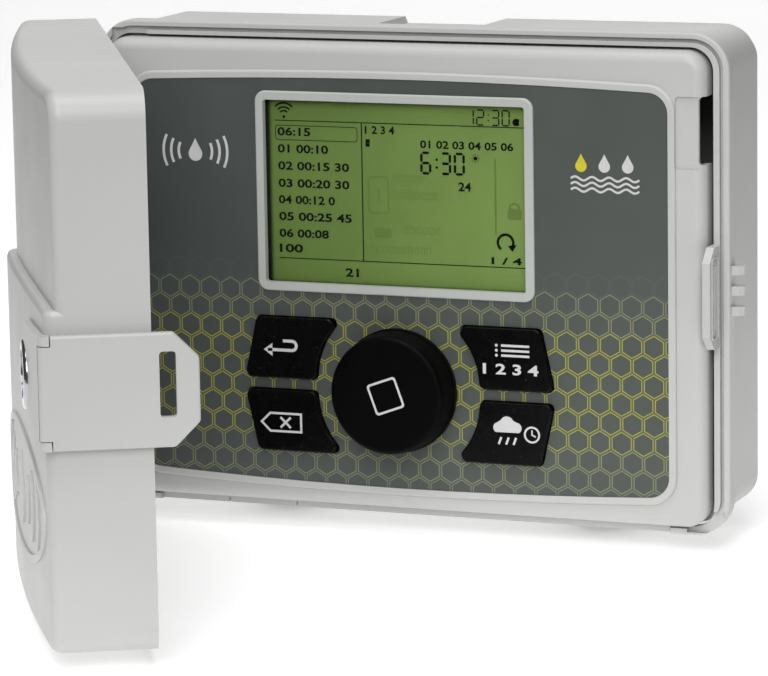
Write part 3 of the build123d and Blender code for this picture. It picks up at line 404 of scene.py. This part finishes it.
WINDOW = clear_window("display_window_clear")
KEY = surface(
    "key_gloss_black", linear("030304"), roughness=0.26, spread=0.2, patch_scale=60.0,
    grain_scale=1500.0, grain=0.04, roughness_spread=0.06, specular=0.13, speck=0.5,
    speck_colour=(0.09, 0.09, 0.1)
)
DIAL = surface(
    "dial_satin_black", linear("050506"), roughness=0.45, spread=0.12, patch_scale=40.0,
    grain_scale=1900.0, grain=0.06, roughness_spread=0.06, specular=0.05
)
WHITE_INK = surface(
    "white_print", linear("C9CAC9"), roughness=0.55, spread=0.05, patch_scale=300.0,
    grain_scale=1800.0, grain=0.05
)
YELLOW_INK = surface(
    "yellow_print", linear("C9BE2B"), roughness=0.55, spread=0.05, patch_scale=300.0,
    grain_scale=1800.0, grain=0.05
)
CHROME = surface(
    "chrome_plate", (0.42, 0.43, 0.44), roughness=0.16, spread=0.03, patch_scale=40.0,
    grain_scale=600.0, grain=0.01, roughness_spread=0.04, metallic=1.0
)
STEEL = surface(
    "zinc_steel", (0.52, 0.53, 0.54), roughness=0.35, spread=0.1, patch_scale=90.0,
    grain_scale=900.0, grain=0.05, roughness_spread=0.08, metallic=1.0
)
BOARD = surface(
    "solder_mask", linear("12512B"), roughness=0.35, spread=0.12, patch_scale=60.0,
    grain_scale=900.0, grain=0.05, coat=0.3
)
BLACK = surface(
    "black_nylon", linear("1A1A1B"), roughness=0.5, spread=0.1, patch_scale=40.0,
    grain_scale=1600.0, grain=0.1
)
TERMINAL = surface(
    "terminal_green", linear("2E7D43"), roughness=0.42, spread=0.06, patch_scale=40.0,
    grain_scale=1500.0, grain=0.06
)
LAMINATION = surface(
    "laminations", linear("2B2A2C"), roughness=0.5, spread=0.2, patch_scale=90.0,
    grain_scale=900.0, grain=0.2, metallic=0.4
)
WINDING = surface(
    "winding_tape", linear("C2A03A"), roughness=0.4, spread=0.12, patch_scale=70.0,
    grain_scale=700.0, grain=0.12, coat=0.2
)
SILICONE = surface(
    "grey_silicone", linear("6E6F72"), roughness=0.6, spread=0.06, patch_scale=40.0,
    grain_scale=1300.0, grain=0.06
)
DIFFUSER = surface(
    "milky_acrylic", linear("DDE0CC"), roughness=0.4, spread=0.04, patch_scale=30.0,
    grain_scale=1200.0, grain=0.03
)

CAD_MATERIALS = {
    HOUSING: ("case_shell", "drip_rail", "panel_bezel", "door_shell", "latch_bracket", "latch_arm"),
    INNER: ("panel_cover",),
    LABEL: ("label_overlay",),
    WHITE_FRAME: ("display_frame",),
    CELL: ("display_module",),
    WINDOW: ("display_window",),
    KEY: ("back_key", "clear_key", "program_key", "rain_key"),
    DIAL: ("dial_knob",),
    WHITE_INK: ("dial_mark",),
    CHROME: ("lock_ring", "lock_barrel", "lock_plug"),
    STEEL: (
        "board_screws",
        "terminal_screws",
        "transformer_strap",
        "transformer_screws",
        "door_hinge_pins",
        "panel_hinge_pins",
        "encoder_shaft",
        "encoder_body",
        "cover_screws",
        "coin_cell",
        "radio_module",
        "latch_pin",
        "lock_cam",
        "cam_screw",
        "lock_nut",
    ),
    BOARD: ("main_board", "terminal_board"),
    BLACK: ("valve_wire_hub", "power_hub", "hub_nuts", "cell_holder", "cable_plug", "power_relays"),
    TERMINAL: ("terminal_blocks",),
    LAMINATION: ("transformer_core",),
    WINDING: ("transformer_coil",),
    SILICONE: ("keypad_mat",),
    DIFFUSER: ("display_backlight",),
}
for finish, names in CAD_MATERIALS.items():
    for name in names:
        mesh = nodes[name].data
        mesh.materials.clear()
        mesh.materials.append(finish)


# ------------------------------------------------------------------ flat print, drawn in X and Z
def piece_from(bm, name, finish, body):
    """Turns a bmesh in millimetres into a piece that rides on a body."""
    bmesh.ops.recalc_face_normals(bm, faces=bm.faces)
    mesh = bpy.data.meshes.new(name)
    bm.to_mesh(mesh)
    bm.free()
    mesh.transform(Matrix.Scale(MM, 4))
    mesh.materials.append(finish)
    piece = bpy.data.objects.new(name, mesh)
    bpy.context.scene.collection.objects.link(piece)
    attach(piece, body)
    return piece


def prism(bm, outline, back, front):
    """A closed plate between two values of Y from an outline of (x, z) points."""
    rear = [bm.verts.new((x, back, z)) for x, z in outline]
    face = [bm.verts.new((x, front, z)) for x, z in outline]
    bm.faces.new(rear)
    bm.faces.new(face[::-1])
    count = len(outline)
    for i in range(count):
        j = (i + 1) % count
        bm.faces.new((rear[i], face[i], face[j], rear[j]))


def band(bm, outer, inner, back, front, closed=True):
    """A closed band between two outlines with the same number of points."""
    rings = []
    for y in (back, front):
        rings.append([bm.verts.new((x, y, z)) for x, z in outer])
        rings.append([bm.verts.new((x, y, z)) for x, z in inner])
    outer_back, inner_back, outer_front, inner_front = rings
    count = len(outer)
    last = count if closed else count - 1
    for i in range(last):
        j = (i + 1) % count
        bm.faces.new((outer_front[i], outer_front[j], inner_front[j], inner_front[i]))
        bm.faces.new((outer_back[j], outer_back[i], inner_back[i], inner_back[j]))
        bm.faces.new((outer_back[i], outer_back[j], outer_front[j], outer_front[i]))
        bm.faces.new((inner_back[j], inner_back[i], inner_front[i], inner_front[j]))
    if not closed:
        for i in (0, count - 1):
            bm.faces.new((outer_back[i], outer_front[i], inner_front[i], inner_back[i]))


def arc(centre, radius, start, end, steps=24):
    """Points on an arc, in degrees counted from +X toward +Z."""
    points = []
    for i in range(steps + 1):
        angle = math.radians(start + (end - start) * i / steps)
        points.append((centre[0] + radius * math.cos(angle), centre[1] + radius * math.sin(angle)))
    return points


SHARPEST_MITRE = 0.35


def stroke(bm, points, width, back, front, closed=False):
    """A band of even width along a line of points."""
    left, right = [], []
    count = len(points)
    for i, (x, z) in enumerate(points):
        before = points[i - 1] if (i or closed) else points[i]
        after = points[(i + 1) % count] if (i < count - 1 or closed) else points[i]
        a = Vector((x - before[0], z - before[1]))
        b = Vector((after[0] - x, after[1] - z))
        a = a.normalized() if a.length else b.normalized()
        b = b.normalized() if b.length else a
        across = Vector((-(a + b).y, (a + b).x)).normalized()
        square = Vector((-a.y, a.x))
        reach = width / 2 / max(SHARPEST_MITRE, abs(across.dot(square)))
        left.append((x + across.x * reach, z + across.y * reach))
        right.append((x - across.x * reach, z - across.y * reach))
    band(bm, left, right, back, front, closed)


def rounded(left, bottom, right, top, radius, steps=6):
    """A rounded rectangle's outline."""
    points = []
    for cx, cz, start in (
        (right - radius, top - radius, 0),
        (left + radius, top - radius, 90),
        (left + radius, bottom + radius, 180),
        (right - radius, bottom + radius, 270),
    ):
        points += arc((cx, cz), radius, start, start + 90, steps)
    return points


CAP_HEIGHT = 0.72
NUMERAL_WEIGHT = 0.036


def numerals(name, text, left, bottom, height, width, y, finish, body):
    """Printed numerals of a given height, squeezed or stretched to a given width."""
    curve = bpy.data.curves.new(name, "FONT")
    curve.body = text
    curve.size = height / CAP_HEIGHT * MM
    curve.extrude = INK / 2 * MM
    curve.offset = height * NUMERAL_WEIGHT * MM
    curve.resolution_u = 3
    holder = bpy.data.objects.new(name + "_source", curve)
    bpy.context.scene.collection.objects.link(holder)
    bpy.context.view_layer.update()
    evaluated = holder.evaluated_get(bpy.context.evaluated_depsgraph_get())
    mesh = bpy.data.meshes.new_from_object(evaluated)
    bpy.data.objects.remove(holder)
    xs = [v.co.x for v in mesh.vertices]
    ys = [v.co.y for v in mesh.vertices]
    scale_x = width * MM / (max(xs) - min(xs))
    scale_z = height * MM / (max(ys) - min(ys))
    for v in mesh.vertices:
        x, up, out = v.co
        v.co = (
            left * MM + (x - min(xs)) * scale_x,
            y * MM - INK / 2 * MM - out,
            bottom * MM + (up - min(ys)) * scale_z,
        )
    mesh.name = name
    mesh.materials.clear()
    mesh.materials.append(finish)
    for polygon in mesh.polygons:
        polygon.use_smooth = False
    piece = bpy.data.objects.new(name, mesh)
    bpy.context.scene.collection.objects.link(piece)
    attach(piece, body)
    return piece


# ------------------------------------------------------------------ display
# Each row's text, the height of its middle and its width.
ROW_TEXT = (
    ("06:15", 50.3, 12.8),
    ("01 00:10", 44.1, 19.6),
    ("02 00:15 30", 37.9, 27.6),
    ("03 00:20 30", 31.6, 27.6),
    ("04 00:12 0", 25.6, 21.9),
    ("05 00:25 45", 19.5, 28.3),
    ("06 00:08", 13.4, 19.3),
    ("100", 7.9, 9.1),
)
ROW_LEFT, ROW_HEIGHT = -48.5, 3.1
THIN_RULE, RULE, DIVIDER = 0.24, 0.32, 0.42
SEGMENT_GAP = 0.22
SEGMENTS = {
    "0": "abcdef",
    "1": "bc",
    "2": "abged",
    "3": "abgcd",
    "6": "afgedc",
}


def seven_segment(bm, digit, left, bottom, width, height, thick):
    """The lit bars of one numeral, with pointed ends and small gaps."""
    half = height / 2
    gap = thick * SEGMENT_GAP
    bars = {
        "a": ((0, height), (width, height)),
        "g": ((0, half), (width, half)),
        "d": ((0, 0), (width, 0)),
        "f": ((0, half), (0, height)),
        "b": ((width, half), (width, height)),
        "e": ((0, 0), (0, half)),
        "c": ((width, 0), (width, half)),
    }
    for bar in SEGMENTS[digit]:
        (x1, z1), (x2, z2) = bars[bar]
        along = Vector((x2 - x1, z2 - z1)).normalized()
        across = Vector((-along.y, along.x)) * thick / 2
        start = Vector((x1, z1)) + along * gap
        end = Vector((x2, z2)) - along * gap
        points = [
            start,
            start + along * thick / 2 + across,
            end - along * thick / 2 + across,
            end,
            end - along * thick / 2 - across,
            start + along * thick / 2 - across,
        ]
        prism(bm, [(left + p.x, bottom + p.y) for p in points], CELL_Y, CELL_Y - INK)


def display_print():
    """Lines, boxes, numerals and pictograms of the display."""
    bm = bmesh.new()
    back, front = CELL_Y, CELL_Y - INK
    # Rules above and below the rows, the divider beside them, and the box round the first row.
    top_rule, bottom_rule, divider, right_end = 54.3, 4.3, -15.9, 46.0
    stroke(bm, [(-49.6, top_rule), (right_end, top_rule)], RULE, back, front)
    stroke(bm, [(-48.6, bottom_rule), (right_end, bottom_rule)], RULE, back, front)
    stroke(bm, [(divider, top_rule), (divider, bottom_rule)], DIVIDER, back, front)
    box = rounded(-49.3, 47.3, -17.6, 52.5, 1.1)
    stroke(bm, box, THIN_RULE, back, front, closed=True)
    # Radio arcs over a dot.
    radio_x = -45.9
    prism(bm, arc((radio_x, 55.6), 0.55, 0, 345, 14), back, front)
    for radius in (1.9, 3.2, 4.7):
        stroke(bm, arc((radio_x, 55.9), radius, 45, 135, 16), 0.62, back, front)
    # Clock, twelve thirty, and the next start, six thirty.
    for text, left, bottom, width, height, thick, step in (
        ("12:30", 24.2, 54.9, 2.6, 5.3, 0.5, 3.9),
        ("6:30", 6.9, 37.0, 3.3, 7.3, 0.95, 5.2),
    ):
        x = left
        for digit in text:
            if digit == ":":
                # The colon's two dots, and the narrow step after it.
                for share in (0.3, 0.68):
                    centre = (x + step * 0.12, bottom + height * share)
                    prism(bm, arc(centre, thick * 0.5, 0, 345, 10), back, front)
                x += step * 0.45
            else:
                seven_segment(bm, digit, x, bottom, width, height, thick)
                x += step
    # A sun for the morning, a moon for the evening.
    sun = (27.4, 42.9)
    prism(bm, arc(sun, 0.75, 0, 345, 16), back, front)
    for i in range(8):
        angle = math.radians(45 * i)
        ray = [(sun[0] + r * math.cos(angle), sun[1] + r * math.sin(angle)) for r in (1.05, 1.6)]
        stroke(bm, ray, 0.3, back, front)
    moon = arc((42.8, 56.2), 1.35, 60, 300, 16) + arc((43.7, 56.2), 1.2, 282, 78, 14)
    prism(bm, moon, back, front)
    # Turning arrow.
    stroke(bm, arc((38.4, 13.2), 2.9, 235, -35, 30), 1.0, back, front)
    arrow_head = [(39.2, 12.1), (42.6, 12.6), (41.0, 10.0)]
    prism(bm, arrow_head, back, front)
    piece_from(bm, "display_print", LCD_INK, "panel")
    for number, (text, middle, width) in enumerate(ROW_TEXT, 1):
        numerals(
            f"display_row_{number}",
            text,
            ROW_LEFT,
            middle - ROW_HEIGHT / 2,
            ROW_HEIGHT,
            width,
            CELL_Y,
            LCD_INK,
            "panel",
        )
    for name, text, left, bottom, height, width in (
        ("display_program", "1 2 3 4", -14.6, 50.4, 2.9, 11.3),
        ("display_program_set", "1", -14.4, 45.8, 2.7, 1.6),
        ("display_stations", "01 02 03 04 05 06", 6.5, 45.9, 2.9, 35.2),
        ("display_next_day", "24", 20.8, 31.0, 3.2, 4.9),
        ("display_pages", "1 / 4", 33.0, 5.3, 2.6, 11.5),
        ("display_today", "21", -23.0, -1.6, 3.1, 5.2),
    ):
        numerals(name, text, left, bottom, height, width, CELL_Y, LCD_INK, "panel")


def ghost_print():
    """Unlit segments that show faintly on the cell."""
    bm = bmesh.new()
    back, front = CELL_Y, CELL_Y - INK * 0.5
    # A box with a bar, a long rule, a padlock and a filled tag.
    line = 0.8
    stroke(bm, rounded(-13.5, 22.0, -6.0, 35.0, 1.4), line, back, front, closed=True)
    stroke(bm, [(-9.7, 26.0), (-9.7, 31.0)], line, back, front)
    stroke(bm, [(34.8, 43.0), (34.8, 16.0)], 0.7, back, front)
    prism(bm, rounded(39.3, 21.5, 44.6, 25.5, 0.8), back, front)
    stroke(bm, arc((41.9, 25.5), 1.8, 0, 180, 12), line, back, front)
    prism(bm, rounded(-11.5, 13.0, -5.0, 16.5, 0.6), back, front)
    # Rows of unlit numerals.
    step = 2.4
    for row, left, right in ((33.5, -4, 8), (27.5, -3, 12), (15.0, 0, 14), (7.6, -13, 9)):
        x = left
        while x < right:
            seven_segment(bm, "0", x, row, 1.4, 2.4, 0.35)
            x += step
    piece_from(bm, "display_ghosts", GHOST_INK, "panel")


display_print()
ghost_print()


# ------------------------------------------------------------------ pictograms on label and keys
SPRAY_HALF = 27


def drop(centre, size):
    """A water drop's outline, point up."""
    x, z = centre
    neck, neck_height = size * 0.16, z + size * 0.72
    tip = [(x + neck, neck_height), (x, z + size * 1.05), (x - neck, neck_height)]
    return arc((x, z), size * 0.5, -215, 35, 22) + tip


def label_marks():
    """A drop with spray arcs on the left; drops over waves on the right."""
    bm = bmesh.new()
    back, front = LABEL_Y, LABEL_Y - INK
    left_x = -79.8
    prism(bm, drop((left_x, 41.5), 5.4), back, front)
    for middle in (180, 0):
        for radius in (6.6, 9.6, 12.6):
            spray = arc((left_x, 42.5), radius, middle - SPRAY_HALF, middle + SPRAY_HALF, 16)
            stroke(bm, spray, 1.0, back, front)
    # Three waves, one under another.
    wave_left, wave_top, wave_gap, wave_step, wave_rise = 64, 37.6, 2.0, 0.9, 0.7
    for index in range(3):
        level = wave_top - index * wave_gap
        wave = [
            (wave_left + i * wave_step, level + wave_rise * math.sin(i * wave_step))
            for i in range(29)
        ]
        stroke(bm, wave, 0.75, back, front)
    drop_z, drop_size = 42.0, 4.2
    for x in (76.4, 85.0):
        prism(bm, drop((x, drop_z), drop_size), back, front)
    piece_from(bm, "label_pictograms", WHITE_INK, "panel")
    bm = bmesh.new()
    prism(bm, drop((67.8, drop_z), drop_size), back, front)
    piece_from(bm, "label_yellow_drop", YELLOW_INK, "panel")


def key_marks():
    """Return arrow, erase cross, program list and rain timer, one on each key."""
    back, front = KEY_Y, KEY_Y - INK

    bm = bmesh.new()
    shaft = [(-52.0, -28.8), (-42.5, -28.8)]
    bend = arc((-42.5, -27.1), 1.7, -90, 90, 12)
    stroke(bm, shaft + bend + [(-46.0, -25.4)], 1.1, back, front)
    prism(bm, [(-53.6, -28.8), (-50.2, -26.4), (-50.2, -31.2)], back, front)
    piece_from(bm, "back_key_print", WHITE_INK, "back_key")

    bm = bmesh.new()
    tag = [(-55.0, -55.5), (-51.6, -52.2), (-39.5, -52.2), (-39.5, -58.8), (-51.6, -58.8)]
    stroke(bm, tag, 0.8, back, front, closed=True)
    # The cross's two bars lie at slightly different heights, so that they don't share a face.
    cross_z, cross_reach = -55.5, 1.9
    for side in (-1, 1):
        bar = [(-47.6, cross_z - side * cross_reach), (-43.6, cross_z + side * cross_reach)]
        stroke(bm, bar, 0.85, back, front - side * 0.005)
    piece_from(bm, "clear_key_print", WHITE_INK, "clear_key")

    bm = bmesh.new()
    for z in (-22.9, -24.7, -26.5):
        prism(bm, arc((36.2, z), 0.55, 0, 345, 12), back, front)
        stroke(bm, [(38.0, z), (48.6, z)], 0.85, back, front)
    piece_from(bm, "program_key_print", WHITE_INK, "program_key")
    left, bottom, height, width = 31.0, -33.4, 3.9, 21.0
    numerals(
        "program_key_numbers",
        "1 2 3 4",
        left,
        bottom,
        height,
        width,
        KEY_Y,
        WHITE_INK,
        "program_key",
    )

    bm = bmesh.new()
    cloud = (
        arc((36.6, -52.6), 1.9, 240, 105, 10)
        + arc((39.9, -51.0), 2.6, 150, 25, 12)
        + arc((43.4, -52.5), 2.0, 85, -60, 10)
    )
    prism(bm, cloud, back, front)
    for x in (37.2, 40.0, 42.8):
        stroke(bm, [(x + 0.5, -56.0), (x - 0.5, -58.6)], 0.8, back, front)
    # The clock's ring and its two hands.
    clock_x, clock_z = 49.3, -54.6
    stroke(bm, arc((clock_x, clock_z), 2.7, 0, 345, 28), 0.7, back, front, closed=True)
    stroke(bm, [(clock_x, -52.9), (clock_x, clock_z), (50.7, -55.3)], 0.55, back, front)
    piece_from(bm, "rain_key_print", WHITE_INK, "rain_key")


label_marks()
key_marks()

# ------------------------------------------------------------------ raised emblem on the door
# The shut door's back, sides and front depths, and its hinge axis, in millimetres.
DOOR_BACK = 54.3
DOOR_LEFT, DOOR_RIGHT = -121.0, 120.0
HINGE_DEPTH, MIDDLE_DEPTH, FREE_DEPTH = 27.0, 35.5, 30.0
LOWER_RAISE = 3.5
HINGE = Vector((-121.5, -54.0, 0.0))
REST_ANGLE = math.radians(-60.8)
EMBLEM_X, EMBLEM_Z = 47.0, -48.5
EMBLEM_HALF_WIDTH, EMBLEM_HALF_HEIGHT, EMBLEM_INNER = 66, 22.0, 0.955
EMBLEM_SUNK, EMBLEM_RAISE, EMBLEM_RING_RAISE = 0.3, 0.7, 0.8
EMBLEM_DROP_Z, EMBLEM_DROP_SIZE, EMBLEM_ARC_WIDTH = -53.0, 16, 3.4


def door_front(x):
    """The depth of the lower door's bowed front at x, with the door shut."""
    x1, y1 = DOOR_LEFT, DOOR_BACK + HINGE_DEPTH
    y2 = DOOR_BACK + MIDDLE_DEPTH
    x3, y3 = DOOR_RIGHT, DOOR_BACK + FREE_DEPTH
    turn = 2 * (x1 * (y2 - y3) + x3 * (y1 - y2))
    s1, s2, s3 = x1**2 + y1**2, y2**2, x3**2 + y3**2
    centre_x = (s1 * (y2 - y3) + s2 * (y3 - y1) + s3 * (y1 - y2)) / turn
    centre_y = (s1 * x3 - s2 * (x3 - x1) - s3 * x1) / turn
    radius = math.hypot(x1 - centre_x, y1 - centre_y) + LOWER_RAISE
    return centre_y + math.sqrt(radius**2 - (x - centre_x) ** 2)


def soften(piece, width):
    """Rounds a moulded piece's edges by a width in millimetres."""
    modifier = piece.modifiers.new("soften", "BEVEL")
    modifier.width = width * MM
    modifier.segments = 2
    modifier.limit_method = "ANGLE"


def door_emblem():
    """A raised oval with a drop and spray arcs, moulded on the door's lower front."""
    bm = bmesh.new()
    ring = []
    for scale in (1.0, EMBLEM_INNER):
        wide = EMBLEM_HALF_WIDTH * scale
        tall = EMBLEM_HALF_HEIGHT - EMBLEM_HALF_WIDTH * (1 - scale)
        ring.append(
            [
                (EMBLEM_X + wide * math.cos(a), EMBLEM_Z + tall * math.sin(a))
                for a in [i * math.pi / 48 for i in range(96)]
            ]
        )
    band(bm, ring[0], ring[1], EMBLEM_SUNK, -EMBLEM_RING_RAISE)
    emblem_drop = drop((EMBLEM_X, EMBLEM_DROP_Z), EMBLEM_DROP_SIZE)
    prism(bm, emblem_drop, EMBLEM_SUNK, -EMBLEM_RAISE)
    for middle in (180, 0):
        for radius in (21, 32, 43):
            wide, tall = radius * 1.15, radius * 0.75
            start = middle - SPRAY_HALF
            points = [
                (EMBLEM_X + wide * math.cos(a), EMBLEM_Z + tall * math.sin(a))
                for a in [math.radians(start + 2 * SPRAY_HALF * i / 20) for i in range(21)]
            ]
            stroke(bm, points, EMBLEM_ARC_WIDTH, EMBLEM_SUNK, -EMBLEM_RAISE)
    bmesh.ops.triangulate(bm, faces=[f for f in bm.faces if len(f.verts) > 4])
    turn = Matrix.Rotation(REST_ANGLE, 4, "Z")
    for vertex in bm.verts:
        x, lift, z = vertex.co
        shut = Vector((x, -door_front(x) + lift, z))
        vertex.co = HINGE + turn @ (shut - HINGE)
    soften(piece_from(bm, "door_emblem", HOUSING, "door"), 0.35)


door_emblem()

# ------------------------------------------------------------------ relief on the case's strike tab
TAB_FACE = 116.2
TAB_RECESS = 115.7


def strike_tab_relief():
    """A raised border around the strike tab's recess and a thin rib down its middle."""
    bm = bmesh.new()
    outer = rounded(-63.3, -17.6, -55.2, 11.6, 1.4)
    inner = rounded(-62.5, -16.9, -56.0, 10.9, 0.8)
    band(bm, outer, inner, TAB_FACE - 0.1, TAB_FACE + 0.4)
    prism(bm, rounded(-59.8, -14.5, -58.6, 8.5, 0.5), TAB_RECESS - 0.1, TAB_FACE + 0.2)
    # The outlines were drawn in Y and Z, so their first value and their depth change places.
    for vertex in bm.verts:
        across, out, up = vertex.co
        vertex.co = (out, across, up)
    soften(piece_from(bm, "strike_tab_relief", HOUSING, "case"), 0.18)


strike_tab_relief()

# ------------------------------------------------------------------ camera, floor and light
RIM_CENTRE = Vector((0, -CASE_DEPTH * MM, 0))
CAMERA_LENS = 198.95
CAMERA_ROLL = math.radians(-0.95)
camera_place = RIM_CENTRE + Vector((549.6, -1398.6, 240.1)) * MM
camera_target = RIM_CENTRE + Vector((-9.95, 0, -23.99)) * MM
camera_data = bpy.data.cameras.new("camera")
camera_data.lens = CAMERA_LENS
camera_data.sensor_width = 36
camera_data.sensor_fit = "HORIZONTAL"
camera_data.clip_start = 0.05
camera = bpy.data.objects.new("camera", camera_data)
bpy.context.scene.collection.objects.link(camera)
forward = (camera_target - camera_place).normalized()
turn = forward.to_track_quat("-Z", "Y").to_matrix().to_4x4()
roll = Matrix.Rotation(CAMERA_ROLL, 4, "Z")
camera.matrix_world = Matrix.Translation(camera_place) @ turn @ roll
bpy.context.scene.camera = camera

FLOOR_Z = cad_box[0][2] - 0.002
floor_mesh = bpy.data.meshes.new("floor")
bm = bmesh.new()
# The floor's line from front to back: flat, then curved up into a backdrop.
FLOOR_FRONT, FLOOR_BEND, BEND_RADIUS, BACKDROP_TOP = -0.5, 1.6, 0.8, 5.0
profile = [(FLOOR_FRONT, 0.0), (FLOOR_BEND, 0.0)]
for i in range(1, 13):
    bend = i * math.pi / 24
    profile.append(
        (FLOOR_BEND + BEND_RADIUS * math.sin(bend), BEND_RADIUS - BEND_RADIUS * math.cos(bend))
    )
profile.append((FLOOR_BEND + BEND_RADIUS, BACKDROP_TOP))
# It is narrow near the object, to keep the object's sides dark, and widens to the left behind it.
FLOOR_EDGES = ((-0.45, -0.53), (0.5, 0.0))
FLOOR_GLOW = 0.45
columns = []
for edge_x, widening in FLOOR_EDGES:
    columns.append(
        [
            bm.verts.new((edge_x + widening * (y - FLOOR_FRONT), y, FLOOR_Z + z))
            for y, z in profile
        ]
    )
for i in range(len(profile) - 1):
    bm.faces.new((columns[0][i], columns[1][i], columns[1][i + 1], columns[0][i + 1]))
bm.to_mesh(floor_mesh)
bm.free()
for polygon in floor_mesh.polygons:
    polygon.use_smooth = True
floor = bpy.data.objects.new("floor", floor_mesh)
bpy.context.scene.collection.objects.link(floor)
FLOOR = surface(
    "studio_floor", (0.86, 0.86, 0.86), roughness=0.8, spread=0.01, patch_scale=2.0,
    grain_scale=80.0, grain=0.0, specular=0.1
)
floor_glow = FLOOR.node_tree.nodes["Principled BSDF"].inputs
floor_glow["Emission Color"].default_value = (1, 1, 1, 1)
floor_glow["Emission Strength"].default_value = FLOOR_GLOW
floor_mesh.materials.append(FLOOR)

LIGHT_SIZE = (1.6, 1.4)


def area_light(name, place, power):
    """A soft rectangular light aimed at the origin."""
    data = bpy.data.lights.new(name, "AREA")
    data.shape = "RECTANGLE"
    data.size, data.size_y = LIGHT_SIZE
    data.energy = power
    light = bpy.data.objects.new(name, data)
    light.location = place
    light.rotation_euler = (-Vector(place)).to_track_quat("-Z", "Y").to_euler()
    bpy.context.scene.collection.objects.link(light)


area_light("key_light", (0.55, -2.2, 1.3), 38)
area_light("top_light", (0.0, -0.7, 2.2), 32)

world = bpy.data.worlds.new("world")
bpy.context.scene.world = world
world.use_nodes = True
world.node_tree.nodes["Background"].inputs["Color"].default_value = (1, 1, 1, 1)
world.node_tree.nodes["Background"].inputs["Strength"].default_value = 0.1
bpy.context.scene.view_settings.view_transform = "Standard"
